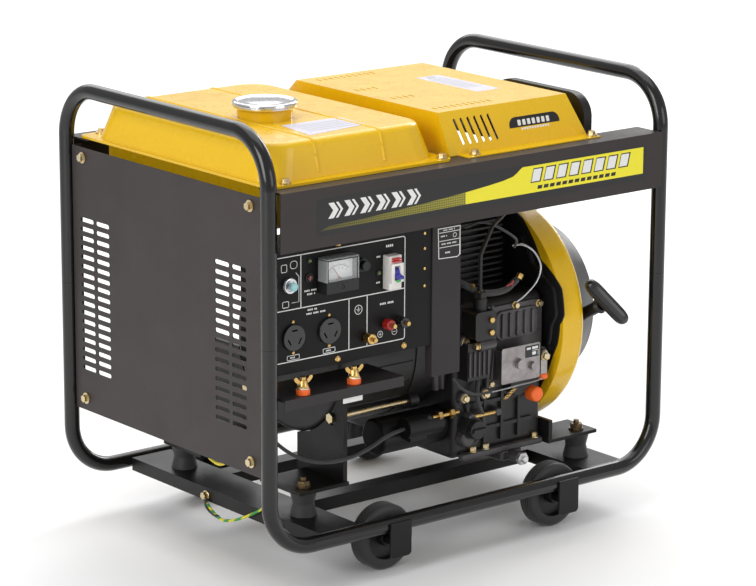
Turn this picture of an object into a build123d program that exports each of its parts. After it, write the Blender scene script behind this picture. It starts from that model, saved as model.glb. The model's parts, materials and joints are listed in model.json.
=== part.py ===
from build123d import *
import math
import os

# Engine driven welder: an air-cooled diesel engine turns an alternator in an open tubular frame.
# Millimetres. X runs along the crankshaft towards the recoil starter, Y to the back, Z up.
# The origin is on the floor under the middle of the frame.

os.makedirs("parts", exist_ok=True)

# ---- tubular frame ----
frame_length = 698.0        # between the upright centres, along X
frame_depth = 469.0         # between the upright centres, along Y
rail_height = 71.0          # centre of the bottom rails above the floor
handle_height = 634.5       # centre of the top handles above the floor
tube_radius = 11.0
tube_wall = 1.8
bend_radius = 70.0
weld_height = 353.0         # the hoops and the rails are butt welded here
weld_gap = 0.3              # room left between separate pieces that are welded or stacked
running_gap = 0.05          # radial clearance of a shaft in its bore
moving_gap = 0.5            # clearance round moving pieces

upright_x = frame_length / 2
upright_y = frame_depth / 2
inner_y = upright_y - tube_radius - weld_gap
inner_x = upright_x - tube_radius - weld_gap

# ---- top beams ----
beam_height = 80.0
beam_top = 561.0
beam_sheet = 2.0
beam_flange = 50.0
beam_face_y = upright_y + tube_radius + 1.0
beam_half_length = upright_x - 9.0
beam_lip = 18.0

# ---- base ----
cross_height = 19.0
cross_top = rail_height + 6.0
cross_sheet = 3.0
left_cross_x = (-254.0, -186.0)
right_cross_x = (226.0, 300.0)
bar_width = 28.0
bar_offset = 86.0           # centre of each lengthwise bar from the middle

# ---- rubber mounts and the feet on them ----
mount_left = (-220.0, 140.0)
mount_right = (262.0, 165.0)
mount_rubber_radius = 19.0
mount_rubber_height = 34.0
mount_waist = 4.0           # how much thinner the buffer is at half height
mount_stud_radius = 5.0
mount_washer_radius = 11.0
mount_washer = 2.0
mount_head_radius = 9.0
mount_head_height = 7.0
bracket_base = cross_top + 2 * weld_gap + mount_rubber_height
bracket_plate = 5.0
web_sheet = 7.0
right_web_height = 34.0

# ---- wheels ----
wheel_edge = 5.0
wheel_rim = 14.0
wheel_dish = 14.0
wheel_web = 9.0
wheel_hub_wall = 7.0
axle_head = 4.0
wheel_radius = 46.5
wheel_width = 27.0
wheel_x = (-135.0, 174.0)
wheel_y = upright_y - 29.0
axle_radius = 5.0
bracket_width = 36.0
bracket_sheet = 3.0
bracket_bottom = 27.0
wheel_hub_width = wheel_width + 4.0
axle_end_play = 1.0

# ---- left end panel ----
panel_sheet = 1.5
panel_bottom = 172.0
panel_top = 552.0
panel_half_depth = 221.5
panel_return = 15.0
panel_bolt_y = 195.0
panel_bolt_z = (190.0, 538.0)
vent_length = 32.0
vent_height = 6.5
vent_pitch = 13.4
vent_rows = 17
vent_columns_y = (-169.0, -131.0, 149.0, 187.0)
vent_middle_z = 342.0

# ---- flange bolts ----
bolt_radius = 3.0
bolt_head_radius = 5.5
bolt_head_height = 5.0
bolt_washer_radius = 8.0
bolt_washer = 1.6
bolt_length = 12.0
bolt_gap = 0.4
sheet_bolt_y = 213.0
tank_bolt_x = (-305.0, -39.0)
cover_bolt_x = (20.0, 236.0)

# ---- fuel tank ----
tank_flange = 3.5
tank_x = (-331.0, -32.0)
tank_half_depth = 206.0
tank_top = 613.0
tank_draft = 14.0
tank_wall = 2.0
tank_corner = 42.0
tank_sump_depth = 62.0
neck_x = -203.0
neck_y = -33.0
neck_radius = 38.0
neck_bore = 33.0
neck_top = 627.0
cap_radius = 45.0
cap_height = 10.0

# ---- heat cover over the muffler ----
cover_sheet = 1.5
cover_top = 620.0
cover_base_x = (-14.0, 238.0)
cover_top_x = (-20.0, 215.0)
cover_base_y = (-200.0, 205.0)
cover_top_y = (-180.0, 135.0)
cover_flange_y = 224.0
cover_slot_length = 15.0
cover_slot_width = 3.0
cover_slot_pitch = 10.8
# centre of each row of roof slots, and how many it has
cover_slot_rows = ((46.0, -154.0, 10), (16.5, -60.0, 4), (14.0, 18.0, 4), (53.0, 113.0, 10))
front_slot_count = 6
front_slot_pitch = 12.2
front_slot_x = 41.0
front_slot_length = 37.0
front_slot_turn = 106.0
front_slot_width = 4.5

# ---- muffler and air cleaner ----
muffler_radius = 26.0
muffler_wall = 3.0
muffler_nose = 8.0
muffler_x = 125.0
muffler_y = (-120.0, 110.0)
muffler_z = 585.0
outlet_radius = 13.0
outlet_wall = 1.5
outlet_drop = 8.0
outlet_length = 100.0
inlet_radius = 12.0
inlet_z = 462.0
inlet_setback = 17.0
inlet_tail = 14.0
cleaner_x = (240.5, 258.0)
cleaner_y = (-192.0, 2.0)
cleaner_z = (486.0, 617.0)
cleaner_corner = 34.0
cleaner_duct_radius = 14.0
cleaner_duct_z = 503.0

# ---- engine ----
crank_y = -33.0
crank_z = 283.0
crank_radius = 17.5
case_x = (28.0, 192.0)
case_front = -165.0
case_back = 95.0
case_bottom = 112.0
case_top = 336.0
case_wall = 8.0
bore_radius = 43.0
cylinder_x = 120.0
fin_half = 64.0
fin_pitch = 9.0
fin_count = 11
fin_thickness = 3.0
head_height = 50.0
piston_height = 55.0
piston_crown_gap = 3.0
fin_corner = 16.0
head_half = (58.0, 60.0)    # half sizes of the head along X and Y
head_fin_half = 66.0
head_fin_rise = (8.0, 20.0, 32.0)
valve_cover_height = 34.0
bearing_wall = 22.0         # metal round the crankshaft bearings
case_rib_x = (50.0, 82.0, 114.0, 146.0)
case_rib_z = (130.0, 202.0)
case_cross_rib_z = (152.0, 190.0)
case_rib_half = 2.5
pump_x = 60.0
pump_half = 19.0
pump_z = (290.0, 331.0)
pump_depth = 30.0
oil_x = 50.0
oil_z = 160.0
oil_plug = 10.0
oil_radius = 14.0
oil_neck = 20.0
stop_x = 160.0
stop_z = 193.0
stop_stem = 4.0
stop_radius = 11.0
stop_length = 16.0
speed_x = 178.0
speed_z = 246.0
speed_pin = 4.0
speed_boss = 12.0
plate_x = (93.0, 165.0)
plate_z = (218.0, 270.0)
plate_stand = 24.0          # front of the speed plate in front of the case
plate_sheet = 2.5
starter_y = -128.0
starter_z = 160.0
starter_radius = 26.0
starter_start_x = -88.0
solenoid_radius = 15.0
solenoid_length = 62.0

# ---- flywheel, fan shroud and recoil starter ----
shroud_x = (200.0, 246.0)
shroud_radius = 168.0
shroud_sheet = 2.0
shroud_hole = 125.0
flywheel_radius = 135.0
flywheel_x = (204.0, 236.0)
flywheel_web = 14.0
flywheel_hub = 30.0
blade_count = 16
blade_sheet = 4.0
press_fit = 0.02
recoil_x = (246.5, 312.0)
recoil_radius = 150.0
recoil_wall = 2.5
recoil_taper = 38.0
reel_radius = 60.0
reel_width = 14.0
reel_x = 268.0
rope_radius = 2.2
rope_angle = 30.0           # above the horizontal, towards the front
rope_offset = reel_radius + rope_radius + moving_gap
guide_reach = 157.0
grip_reach = 177.0
grip_length = 84.0
grip_radius = 10.0
grip_lean = (0.54, -0.421, -0.729)
rope_tail = 105.0
reel_post = 9.0
reel_hole_radius = 8.0
reel_hole_circle = 34.0
recoil_slot_count = 18
guide_radius = 9.0

# ---- alternator ----
stator_radius = 118.0
stator_x = (-165.0, -10.0)
bell_thickness = 20.0
rotor_radius = 86.0
rotor_x = (-135.0, -40.0)
through_bolt_radius = 4.0
through_bolt_circle = 126.0
boss_radius = 10.0
bolt_turns = (40, 140, 220, 320)
stator_thickness = 26.0
pole_width = 34.0
pole_height = 50.0
rotor_sleeve = 40.0
vent_count = 24
vent_radius = 1.6

# ---- control panel ----
panel_face_y = -223.0
box_x = (-332.0, -63.0)
box_z = (310.0, 480.0)
box_back = -150.0
box_sheet = 1.6
meter_x = -233.0
meter_z = 437.5
meter_width = 54.0
meter_height = 47.0
meter_stand = 20.0
meter_body = 22.0
needle_swing = 80.0
key_x = -309.0
key_z = 431.0
key_radius = 11.0
key_rotor_radius = 6.0
lamp_radius = 3.0
lamp_spots = ((-274.0, 459.0), (-274.0, 436.0), (-157.0, 425.0))
fuse_x = -190.0
fuse_z = 442.0
fuse_radius = 7.5
breaker_x = -138.0
breaker_z = 425.0
breaker_width = 21.0
breaker_height = 46.0
breaker_stand = 13.0
toggle_swing = 42.0
socket_spots = ((-301.0, 359.0), (-241.0, 359.0))
socket_radius = 18.0
socket_slot_length = 9.0
socket_slot_width = 2.2
socket_slot_circle = 10.0
earth_x = -178.0
earth_z = 339.0
output_x = (-145.0, -121.0)
output_z = 353.0
terminal_radius = 3.0
terminal_length = 36.0
knob_radius = 7.5
knob_length = 12.0

# ---- weld terminals ----
shelf_top = 282.0
shelf_x = (-332.0, -130.0)
shelf_front = -246.0
shelf_back = -165.0
shelf_sheet = 3.0
shelf_lip = 14.0
weld_stud_x = (-292.0, -206.0)
weld_stud_y = -233.0
weld_stud_radius = 4.0
insulator_radius = 9.5
insulator_height = 8.0

# ---- leads ----
lead_radius = 2.6
earth_wire_radius = 1.6

# ---- post beside the panel ----
post_x = (-64.0, -14.0)
post_bottom = 264.0
post_return = 12.0


def block(x_span, y_span, z_span):
    """A box between two values on each axis."""
    size = [abs(high - low) for low, high in (x_span, y_span, z_span)]
    middle = [(low + high) / 2 for low, high in (x_span, y_span, z_span)]
    return Pos(*middle) * Box(*size)


def rod(start, direction, radius, length):
    """A cylinder that starts at a point and runs along a direction."""
    at = Plane(origin=start, z_dir=direction)
    return at * Cylinder(radius, length, align=(Align.CENTER, Align.CENTER, Align.MIN))


def cone(start, direction, radius_start, radius_end, length):
    """A cone that starts at a point and runs along a direction."""
    at = Plane(origin=start, z_dir=direction)
    return at * Cone(radius_start, radius_end, length, align=(Align.CENTER, Align.CENTER, Align.MIN))


def hexagon(start, direction, radius, height):
    """A hexagonal prism, radius to the corners."""
    at = Plane(origin=start, z_dir=direction)
    return at * extrude(RegularPolygon(radius, 6), height)


def save(name, *pieces):
    """Write one node, as a single solid or as a group of separate solids."""
    solids = [solid for piece in pieces for solid in piece.solids()]
    shape = solids[0] if len(solids) == 1 else Compound(solids)
    export_step(shape, f"parts/{name}.step")


def bent_tube(points):
    path = FilletPolyline(*points, radius=bend_radius)
    start = Plane(origin=path @ 0, z_dir=path % 0)
    section = start * (Circle(tube_radius) - Circle(tube_radius - tube_wall))
    return sweep(section, path=path)


def handle_hoop(side):
    """One end of the frame: two half uprights and the lifting handle between them."""
    x = side * upright_x
    hoop = bent_tube([
        (x, -upright_y, weld_height),
        (x, -upright_y, handle_height),
        (x, upright_y, handle_height),
        (x, upright_y, weld_height),
    ])
    return hoop


def bottom_rail(side):
    """One long bottom rail with a half upright at each end."""
    y = side * upright_y
    return bent_tube([
        (-upright_x, y, weld_height - weld_gap),
        (-upright_x, y, rail_height),
        (upright_x, y, rail_height),
        (upright_x, y, weld_height - weld_gap),
    ])


def engine_base():
    """Two channels across the rails and two bars between them, welded into one ladder."""
    z_span = (cross_top - cross_height, cross_top)
    inside_z = (cross_top - cross_height, cross_top - cross_sheet)
    base = None
    for low, high in (left_cross_x, right_cross_x):
        channel = block((low, high), (-inner_y, inner_y), z_span)
        channel -= block((low + cross_sheet, high - cross_sheet), (-inner_y, inner_y), inside_z)
        base = channel if base is None else base + channel
    for side in (-1, 1):
        middle = side * bar_offset
        span = (middle - bar_width / 2, middle + bar_width / 2)
        bar = block((left_cross_x[1] - 1, right_cross_x[0] + 1), span, z_span)
        hollow = (span[0] + cross_sheet, span[1] - cross_sheet)
        bar -= block((left_cross_x[1] - 1, right_cross_x[0] + 1), hollow, inside_z)
        base += bar
    for x, y in mount_spots():
        base -= rod((x, y, cross_top - 10), (0, 0, 1), mount_stud_radius + bolt_gap, 20)
    return base


def mount_spots():
    for side in (-1, 1):
        yield mount_left[0], side * mount_left[1]
        yield mount_right[0], side * mount_right[1]


def rubber_mount(x, y):
    """A waisted rubber buffer, with its own stud below and above."""
    low = cross_top + weld_gap
    waist = mount_rubber_radius - mount_waist
    half = mount_rubber_height / 2
    body = cone((x, y, low), (0, 0, 1), mount_rubber_radius, waist, half)
    body += cone((x, y, low + half), (0, 0, 1), waist, mount_rubber_radius, half)
    body += rod((x, y, cross_top - 8), (0, 0, 1), mount_stud_radius, 9)
    return body


def mount_bolt(x, y):
    """A bolt head and washer on top of the foot."""
    top = bracket_base + bracket_plate + weld_gap
    bolt = rod((x, y, top), (0, 0, 1), mount_washer_radius, mount_washer)
    bolt += hexagon((x, y, top + mount_washer), (0, 0, 1), mount_head_radius, mount_head_height)
    bolt += rod((x, y, top + mount_washer + mount_head_height), (0, 0, 1), mount_stud_radius - 1, 5)
    return bolt


def foot_plate(x_span, y_span, x, y):
    """A flat foot on a rubber mount."""
    plate = block(x_span, y_span, (bracket_base, bracket_base + bracket_plate))
    return plate - rod((x, y, bracket_base - 1), (0, 0, 1), mount_stud_radius + 1, bracket_plate + 2)


def engine_brackets():
    """Feet that carry the crankcase and the alternator on the four rubber mounts."""
    feet = []
    round_stator = rod((stator_x[0] - 30, crank_y, crank_z), (1, 0, 0), stator_radius + 2 + weld_gap, 80)
    boss_room = []
    for turn in bolt_turns:
        y, z = on_circle(through_bolt_circle, turn)
        boss_room.append(rod((stator_x[0] - 30, y, z), (1, 0, 0), boss_radius + bolt_gap, 80))
    for side in (-1, 1):
        x, y = mount_right[0], side * mount_right[1]
        foot = foot_plate((case_x[1] + 4, x + 24), sorted((y - side * 45, y + side * 18)), x, y)
        foot += block((case_x[1] + weld_gap, case_x[1] + web_sheet), sorted((side * 85, y + side * 18)),
                      (bracket_base, bracket_base + right_web_height))
        web_y = sorted((y - side * 45, y - side * 40))
        foot += block((case_x[1] + 4, x + 12), web_y, (bracket_base - 14, bracket_base + 4))
        feet.append(foot)
        x, y = mount_left[0], side * mount_left[1]
        foot = foot_plate((x - 22, stator_x[0] + 9), sorted((side * 70, y + side * 20)), x, y)
        web_y = sorted((side * 52, y + side * 16))
        web = block((stator_x[0] + 2, stator_x[0] + 2 + web_sheet), web_y, (bracket_base, crank_z - 24))
        foot += web - round_stator - boss_room
        feet.append(foot)
    return feet


def wheel(x, y):
    """A solid rubber wheel on a moulded hub, bored for its axle."""
    at = Plane(origin=(x, y, wheel_radius), z_dir=(0, 1, 0))
    body = at * Cylinder(wheel_radius, wheel_width)
    body = fillet(body.edges().filter_by(GeomType.CIRCLE), wheel_edge)
    dish_outer = wheel_radius - wheel_rim
    dish = at * (Cylinder(dish_outer, wheel_width + 2) - Cylinder(dish_outer - wheel_dish, wheel_width + 2))
    web = at * Cylinder(wheel_radius, wheel_web)
    body -= dish - web
    bore = at * Cylinder(axle_radius + running_gap, 2 * wheel_width)
    hub = at * Cylinder(axle_radius + wheel_hub_wall, wheel_hub_width)
    return body + hub - bore


def wheel_bracket(x, side):
    """A strap on the outside of the rail, with the riveted axle that carries the wheel inside it."""
    half = bracket_width / 2
    outer = upright_y + tube_radius + weld_gap
    strap = block((x - half, x + half), sorted((side * outer, side * (outer + bracket_sheet))),
                  (bracket_bottom, rail_height + 6))
    strap = fillet(strap.edges().filter_by(Axis.Y).group_by(Axis.Z)[0], 6)
    inner = wheel_y - wheel_hub_width / 2 - axle_end_play
    axle = rod((x, side * inner, wheel_radius), (0, side, 0), axle_radius, outer + 1 - inner)
    head = rod((x, side * inner, wheel_radius), (0, -side, 0), axle_radius + axle_head, bracket_sheet)
    collar_start = wheel_y + wheel_hub_width / 2 + axle_end_play
    collar = rod((x, side * collar_start, wheel_radius), (0, side, 0), axle_radius + 3, outer - collar_start)
    return strap + axle + head + collar


def top_beam(side):
    """A folded channel between the uprights; the tank and the heat cover bolt to its flange."""
    face = side * beam_face_y
    face_y = sorted((face, face + side * beam_sheet))
    flange_y = sorted((face, face - side * (beam_flange - beam_sheet)))
    lip_y = sorted((face, face - side * beam_lip))
    bottom = beam_top - beam_height
    beam = block((-beam_half_length, beam_half_length), face_y, (bottom, beam_top))
    beam += block((-inner_x, inner_x), flange_y, (beam_top - beam_sheet, beam_top))
    beam += block((-inner_x, inner_x), lip_y, (bottom, bottom + beam_sheet))
    for x in tank_bolt_x + cover_bolt_x:
        beam -= rod((x, side * sheet_bolt_y, beam_top - 5), (0, 0, 1), bolt_radius + bolt_gap, 10)
    return beam


def left_end_panel():
    """A sheet cover with folded edges and four columns of air slots."""
    x0 = -upright_x
    depth = (-panel_half_depth, panel_half_depth)
    panel = block((x0, x0 + panel_sheet), depth, (panel_bottom, panel_top))
    for side in (-1, 1):
        edge = sorted((side * panel_half_depth, side * (panel_half_depth - panel_sheet)))
        panel += block((x0, x0 + panel_return), edge, (panel_bottom, panel_top))
    slot = extrude(Plane.YZ * SlotOverall(vent_length, vent_height), 4 * panel_sheet, both=True)
    first_z = vent_middle_z - vent_pitch * (vent_rows - 1) / 2
    vents = [
        Pos(x0, y, first_z + row * vent_pitch) * slot
        for y in vent_columns_y
        for row in range(vent_rows)
    ]
    panel -= vents
    for y in (-panel_bolt_y, panel_bolt_y):
        for z in panel_bolt_z:
            panel -= rod((x0 - 5, y, z), (1, 0, 0), bolt_radius + bolt_gap, 10)
    return panel


def flange_bolt(seat, direction):
    """A hexagon bolt with its washer; the seat is the point under the washer."""
    away = Vector(*direction)
    at = Vector(*seat) + away * weld_gap
    bolt = rod(at, away, bolt_washer_radius, bolt_washer)
    bolt += hexagon(at + away * bolt_washer, away, bolt_head_radius, bolt_head_height)
    bolt += rod(at - away * bolt_length, away, bolt_radius, bolt_length + 0.5)
    return bolt


def flange_bolts():
    bolts = []
    for y in (-panel_bolt_y, panel_bolt_y):
        for z in panel_bolt_z:
            bolts.append(flange_bolt((-upright_x, y, z), (-1, 0, 0)))
    for side in (-1, 1):
        for x in tank_bolt_x:
            bolts.append(flange_bolt((x, side * sheet_bolt_y, beam_top + weld_gap + tank_flange), (0, 0, 1)))
        for x in cover_bolt_x:
            bolts.append(flange_bolt((x, side * sheet_bolt_y, beam_top + weld_gap + cover_sheet), (0, 0, 1)))
    return bolts


def tank_shell(inset):
    """The crowned upper half of the tank, shrunk all round by the inset."""
    low = beam_top + weld_gap + tank_flange
    length = tank_x[1] - tank_x[0]
    middle = (tank_x[0] + tank_x[1]) / 2
    lower = Pos(middle, 0, low) * RectangleRounded(
        length - 2 * inset, 2 * (tank_half_depth - inset), tank_corner - inset)
    upper = Pos(middle, 0, tank_top - inset) * RectangleRounded(
        length - 2 * (tank_draft + inset), 2 * (tank_half_depth - tank_draft - inset), tank_corner - inset)
    shell = loft([lower, upper])
    crown = shell.edges().group_by(Axis.Z)[-1]
    return fillet(crown, 10 - inset)


def fuel_tank():
    middle = (tank_x[0] + tank_x[1]) / 2
    length = tank_x[1] - tank_x[0]
    low = beam_top + weld_gap
    flange_length = length + 10
    flange = Pos(middle, 0, low) * extrude(
        RectangleRounded(flange_length, 2 * (sheet_bolt_y + 10), 10), tank_flange)
    sump_z = (low - tank_sump_depth, low)
    sump_half = upright_y - beam_flange + 4
    sump = block((tank_x[0] + 22, tank_x[1] - 22), (-sump_half, sump_half), sump_z)
    tank = tank_shell(0) + flange + sump
    tank += rod((neck_x, neck_y, tank_top - 6), (0, 0, 1), neck_radius, neck_top - tank_top + 6)
    hollow = block((tank_x[0] + 24, tank_x[1] - 24), (-sump_half + tank_wall, sump_half - tank_wall),
                   (sump_z[0] + tank_wall, low + tank_flange + 1))
    tank = tank - tank_shell(tank_wall) - hollow
    tank -= rod((neck_x, neck_y, tank_top - 12), (0, 0, 1), neck_bore, 60)
    for side in (-1, 1):
        for x in tank_bolt_x:
            tank -= rod((x, side * sheet_bolt_y, low - 1), (0, 0, 1), bolt_radius + bolt_gap, 10)
    return tank


def fuel_cap():
    """A pressed cap with a rolled rim, a bayonet plug below and a shallow raised centre."""
    low = neck_top + weld_gap
    cap = rod((neck_x, neck_y, low), (0, 0, 1), cap_radius, cap_height)
    rims = cap.edges().filter_by(GeomType.CIRCLE)
    cap = fillet(rims, 3)
    cap -= rod((neck_x, neck_y, low + cap_height - 2), (0, 0, 1), cap_radius - 6, 4)
    cap += rod((neck_x, neck_y, low - 12), (0, 0, 1), neck_bore - 1, 13)
    return cap


def cover_shell(inset):
    """The tapered box of the heat cover, shrunk by the sheet thickness for its inside."""
    base = block((cover_base_x[0] + inset, cover_base_x[1] - inset),
                 (cover_base_y[0] + inset, cover_base_y[1] - inset),
                 (beam_top + weld_gap, beam_top + weld_gap + 1)).faces().sort_by(Axis.Z)[-1]
    roof = block((cover_top_x[0] + inset, cover_top_x[1] - inset),
                 (cover_top_y[0] + inset, cover_top_y[1] - inset),
                 (cover_top - inset - 1, cover_top - inset)).faces().sort_by(Axis.Z)[-1]
    low = beam_top + weld_gap
    skirt = block((cover_base_x[0] + inset, cover_base_x[1] - inset),
                  (cover_base_y[0] + inset, cover_base_y[1] - inset), (low, low + 1))
    return loft([base, roof]) + skirt


def muffler_cover():
    shell = cover_shell(0) - cover_shell(cover_sheet)
    shell -= block((-300, 500), (-300, 300), (beam_top - 20, beam_top + weld_gap))
    low = beam_top + weld_gap
    for side in (-1, 1):
        edge = cover_base_y[0] if side < 0 else cover_base_y[1]
        span = sorted((edge - side * cover_sheet, side * cover_flange_y))
        flange = block((cover_base_x[0] + 14, cover_base_x[1] + 6), span, (low, low + cover_sheet))
        for x in cover_bolt_x:
            flange -= rod((x, side * sheet_bolt_y, low - 1), (0, 0, 1), bolt_radius + bolt_gap, 10)
        shell += flange
    slot = extrude(SlotOverall(cover_slot_length, cover_slot_width, rotation=90), 6, both=True)
    cuts = []
    for row_x, row_y, count in cover_slot_rows:
        start = row_x - cover_slot_pitch * (count - 1) / 2
        cuts += [Pos(start + i * cover_slot_pitch, row_y, cover_top) * slot for i in range(count)]
    tall = Plane.XZ * SlotOverall(front_slot_length, front_slot_width, rotation=front_slot_turn)
    tall = extrude(tall, 30, both=True)
    middle_y = (cover_base_y[0] + cover_top_y[0]) / 2
    middle_z = (beam_top + cover_top) / 2 + 1
    outlet_room = outlet_radius + outlet_wall
    cuts.append(rod((muffler_x, cover_base_y[1] - 60, muffler_z - outlet_drop), (0, 1, 0), outlet_room, 80))
    start = front_slot_x - front_slot_pitch * (front_slot_count - 1) / 2
    cuts += [Pos(start + i * front_slot_pitch, middle_y, middle_z) * tall for i in range(front_slot_count)]
    return shell - cuts


def muffler():
    """A round silencer lying across the engine, its outlet pipe towards the back."""
    length = muffler_y[1] - muffler_y[0]
    outlet_z = muffler_z - outlet_drop
    body = rod((muffler_x, muffler_y[0], muffler_z), (0, 1, 0), muffler_radius, length)
    body += cone((muffler_x, muffler_y[0], muffler_z), (0, -1, 0), muffler_radius,
                 muffler_radius - muffler_nose, muffler_nose)
    outlet = rod((muffler_x, muffler_y[1] - 1, outlet_z), (0, 1, 0), outlet_radius, outlet_length + 1)
    down_y = crank_y + head_fin_half + weld_gap + inlet_setback
    inlet = rod((muffler_x, down_y, inlet_z - inlet_tail), (0, 0, 1), inlet_radius,
                muffler_z - inlet_z + inlet_tail)
    inlet += rod((muffler_x, down_y - inlet_setback, inlet_z), (0, 1, 0), inlet_radius - 1.5,
                 inlet_setback - 1)
    hollow = rod((muffler_x, muffler_y[0] + muffler_wall, muffler_z), (0, 1, 0),
                 muffler_radius - muffler_wall, length - 2 * muffler_wall)
    bore = rod((muffler_x, muffler_y[1] - 10, outlet_z), (0, 1, 0),
               outlet_radius - outlet_wall, outlet_length + 12)
    return body + outlet + inlet - hollow - bore


def air_cleaner():
    """A moulded filter housing that hangs beside the heat cover."""
    housing = block(cleaner_x, cleaner_y, cleaner_z)
    upper_corners = housing.edges().filter_by(Axis.X).group_by(Axis.Z)[-1]
    housing = fillet(upper_corners, cleaner_corner)
    rest = housing.edges().filter_by(Axis.Y) + housing.edges().filter_by(Axis.Z)
    housing = fillet(rest.group_by(Axis.X)[-1], 5)
    duct_start = cylinder_x + 42 + weld_gap
    duct_length = cleaner_x[0] + 0.5 - duct_start
    duct = rod((duct_start, crank_y + 10, cleaner_duct_z), (1, 0, 0), cleaner_duct_radius, duct_length)
    return housing + duct


def crankcase():
    """A cast case: ribbed walls, a sump, the shaft bearings and the seat of the cylinder."""
    case = block(case_x, (case_front, case_back), (case_bottom, case_top))
    case = fillet(case.edges().filter_by(Axis.X), 14)
    case = fillet(case.edges().filter_by(Axis.Z), 8)
    room_x = (case_x[0] + case_wall, case_x[1] - case_wall)
    room_y = (case_front + 40, case_back - case_wall)
    case -= block(room_x, room_y, (case_bottom + case_wall, case_top - case_wall))
    case -= rod((cylinder_x, crank_y, case_top - 40), (0, 0, 1), bore_radius + 6, 60)
    for start in (case_x[0] - 12, case_x[1] - 10):
        case += rod((start, crank_y, crank_z), (1, 0, 0), crank_radius + bearing_wall, 20)
    case -= rod((case_x[0] - 20, crank_y, crank_z), (1, 0, 0), crank_radius + running_gap, 220)
    for x in case_rib_x:
        case += block((x - case_rib_half, x + case_rib_half), (case_front - 5, case_front + 1), case_rib_z)
    for z in case_cross_rib_z:
        case += block((46, 172), (case_front - 4, case_front + 1), (z - case_rib_half, z + case_rib_half))
    case += block((34, 74), (case_front - 22, case_front + 1), (232, 286))
    case += rod((132, case_front + 1, 212), (0, -1, 0), 16, 22)
    case += rod((oil_x, case_front + 1, oil_z), (0, -1, 0), oil_radius + 2, oil_neck)
    case -= rod((oil_x, case_front - 40, oil_z), (0, 1, 0), oil_plug + moving_gap, 60)
    case -= rod((stop_x, case_front - 40, stop_z), (0, 1, 0), stop_stem + running_gap, 70)
    case += rod((speed_x, case_front + 1, speed_z), (0, -1, 0), speed_boss, 16)
    case -= rod((speed_x, case_front - 40, speed_z), (0, 1, 0), speed_pin + running_gap, 60)
    return case


def finned_cylinder():
    """The cooled barrel that stands on the crankcase."""
    low = case_top + weld_gap
    height = fin_pitch * fin_count
    barrel = rod((cylinder_x, crank_y, low), (0, 0, 1), bore_radius + 12, height)
    for i in range(fin_count):
        z = low + (i + 0.3) * fin_pitch
        fin = block((cylinder_x - fin_half, cylinder_x + fin_half),
                    (crank_y - fin_half, crank_y + fin_half), (z, z + fin_thickness))
        barrel += fillet(fin.edges().filter_by(Axis.Z), fin_corner)
    skirt = rod((cylinder_x, crank_y, low - 30), (0, 0, 1), bore_radius + 5, 31)
    return barrel + skirt - rod((cylinder_x, crank_y, low - 40), (0, 0, 1), bore_radius, height + 50)


def cylinder_head():
    """Head with its fins, and the valve cover on top."""
    low = case_top + 2 * weld_gap + fin_pitch * fin_count
    half_x, half_y = head_half
    top = low + head_height
    head = block((cylinder_x - half_x, cylinder_x + half_x),
                 (crank_y - half_y, crank_y + half_y), (low, top))
    head = fillet(head.edges().filter_by(Axis.Z), 12)
    for rise in head_fin_rise:
        head += block((cylinder_x - head_fin_half, cylinder_x + head_fin_half),
                      (crank_y - head_fin_half, crank_y + head_fin_half),
                      (low + rise, low + rise + fin_thickness))
    valve = block((cylinder_x - 42, cylinder_x + 42), (crank_y - 52, crank_y + 40),
                  (top - 1, top + valve_cover_height))
    valve = fillet(valve.edges().filter_by(Axis.Z), 10)
    valve = fillet(valve.edges().group_by(Axis.Z)[-1], 6)
    return head + valve


def piston():
    """Shown at the top of its stroke."""
    crown = case_top + weld_gap + fin_pitch * fin_count - piston_crown_gap
    skirt = crown - piston_height
    body = rod((cylinder_x, crank_y, skirt), (0, 0, 1), bore_radius - running_gap, piston_height)
    body -= rod((cylinder_x, crank_y, skirt - 1), (0, 0, 1), bore_radius - 7, piston_height - 9)
    pin = rod((cylinder_x - 38, crank_y, crown - 32), (1, 0, 0), 9, 76)
    return body + pin


def crankshaft():
    """The straight shaft from the alternator, through the case, to the flywheel, with two round webs."""
    start = rotor_x[0] - 18
    shaft = rod((start, crank_y, crank_z), (1, 0, 0), crank_radius, flywheel_x[1] - start + 8)
    for x in (96, 132):
        shaft += rod((x, crank_y, crank_z), (1, 0, 0), 30, 12)
    return shaft


def flywheel():
    """A disc and hub with radial fan blades, clamped on the end of the crankshaft."""
    start = (flywheel_x[0], crank_y, crank_z)
    depth = flywheel_x[1] - flywheel_x[0]
    body = rod(start, (1, 0, 0), flywheel_radius - 12, flywheel_web)
    body += rod(start, (1, 0, 0), flywheel_hub, depth)
    blade = Pos(flywheel_x[0] + depth / 2, 0, (flywheel_radius + 60) / 2) * Box(
        depth, blade_sheet, flywheel_radius - 60)
    for i in range(blade_count):
        body += Pos(0, crank_y, crank_z) * (Rot(i * 360 / blade_count, 0, 0) * blade)
    bore = rod((flywheel_x[0] - 1, crank_y, crank_z), (1, 0, 0), crank_radius + press_fit, 2 * depth)
    return body - bore


def fan_shroud():
    """A deep pressed drum round the flywheel, open towards the engine."""
    x0, x1 = shroud_x
    drum = rod((x0, crank_y, crank_z), (1, 0, 0), shroud_radius, x1 - x0)
    drum = fillet(drum.edges().filter_by(GeomType.CIRCLE).group_by(Axis.X)[-1], 14)
    inner = rod((x0 - 1, crank_y, crank_z), (1, 0, 0), shroud_radius - shroud_sheet,
                x1 - x0 + 1 - shroud_sheet)
    inner = fillet(inner.edges().filter_by(GeomType.CIRCLE).group_by(Axis.X)[-1], 14 - shroud_sheet)
    hole = rod((x0, crank_y, crank_z), (1, 0, 0), shroud_hole, 60)
    return drum - inner - hole


def rope_point(reach):
    """A point on the rope's straight line, measured from where it leaves the reel."""
    turn = math.radians(rope_angle)
    y = crank_y - rope_offset * math.sin(turn) - reach * math.cos(turn)
    z = crank_z - rope_offset * math.cos(turn) + reach * math.sin(turn)
    return (reel_x, y, z)


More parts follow.
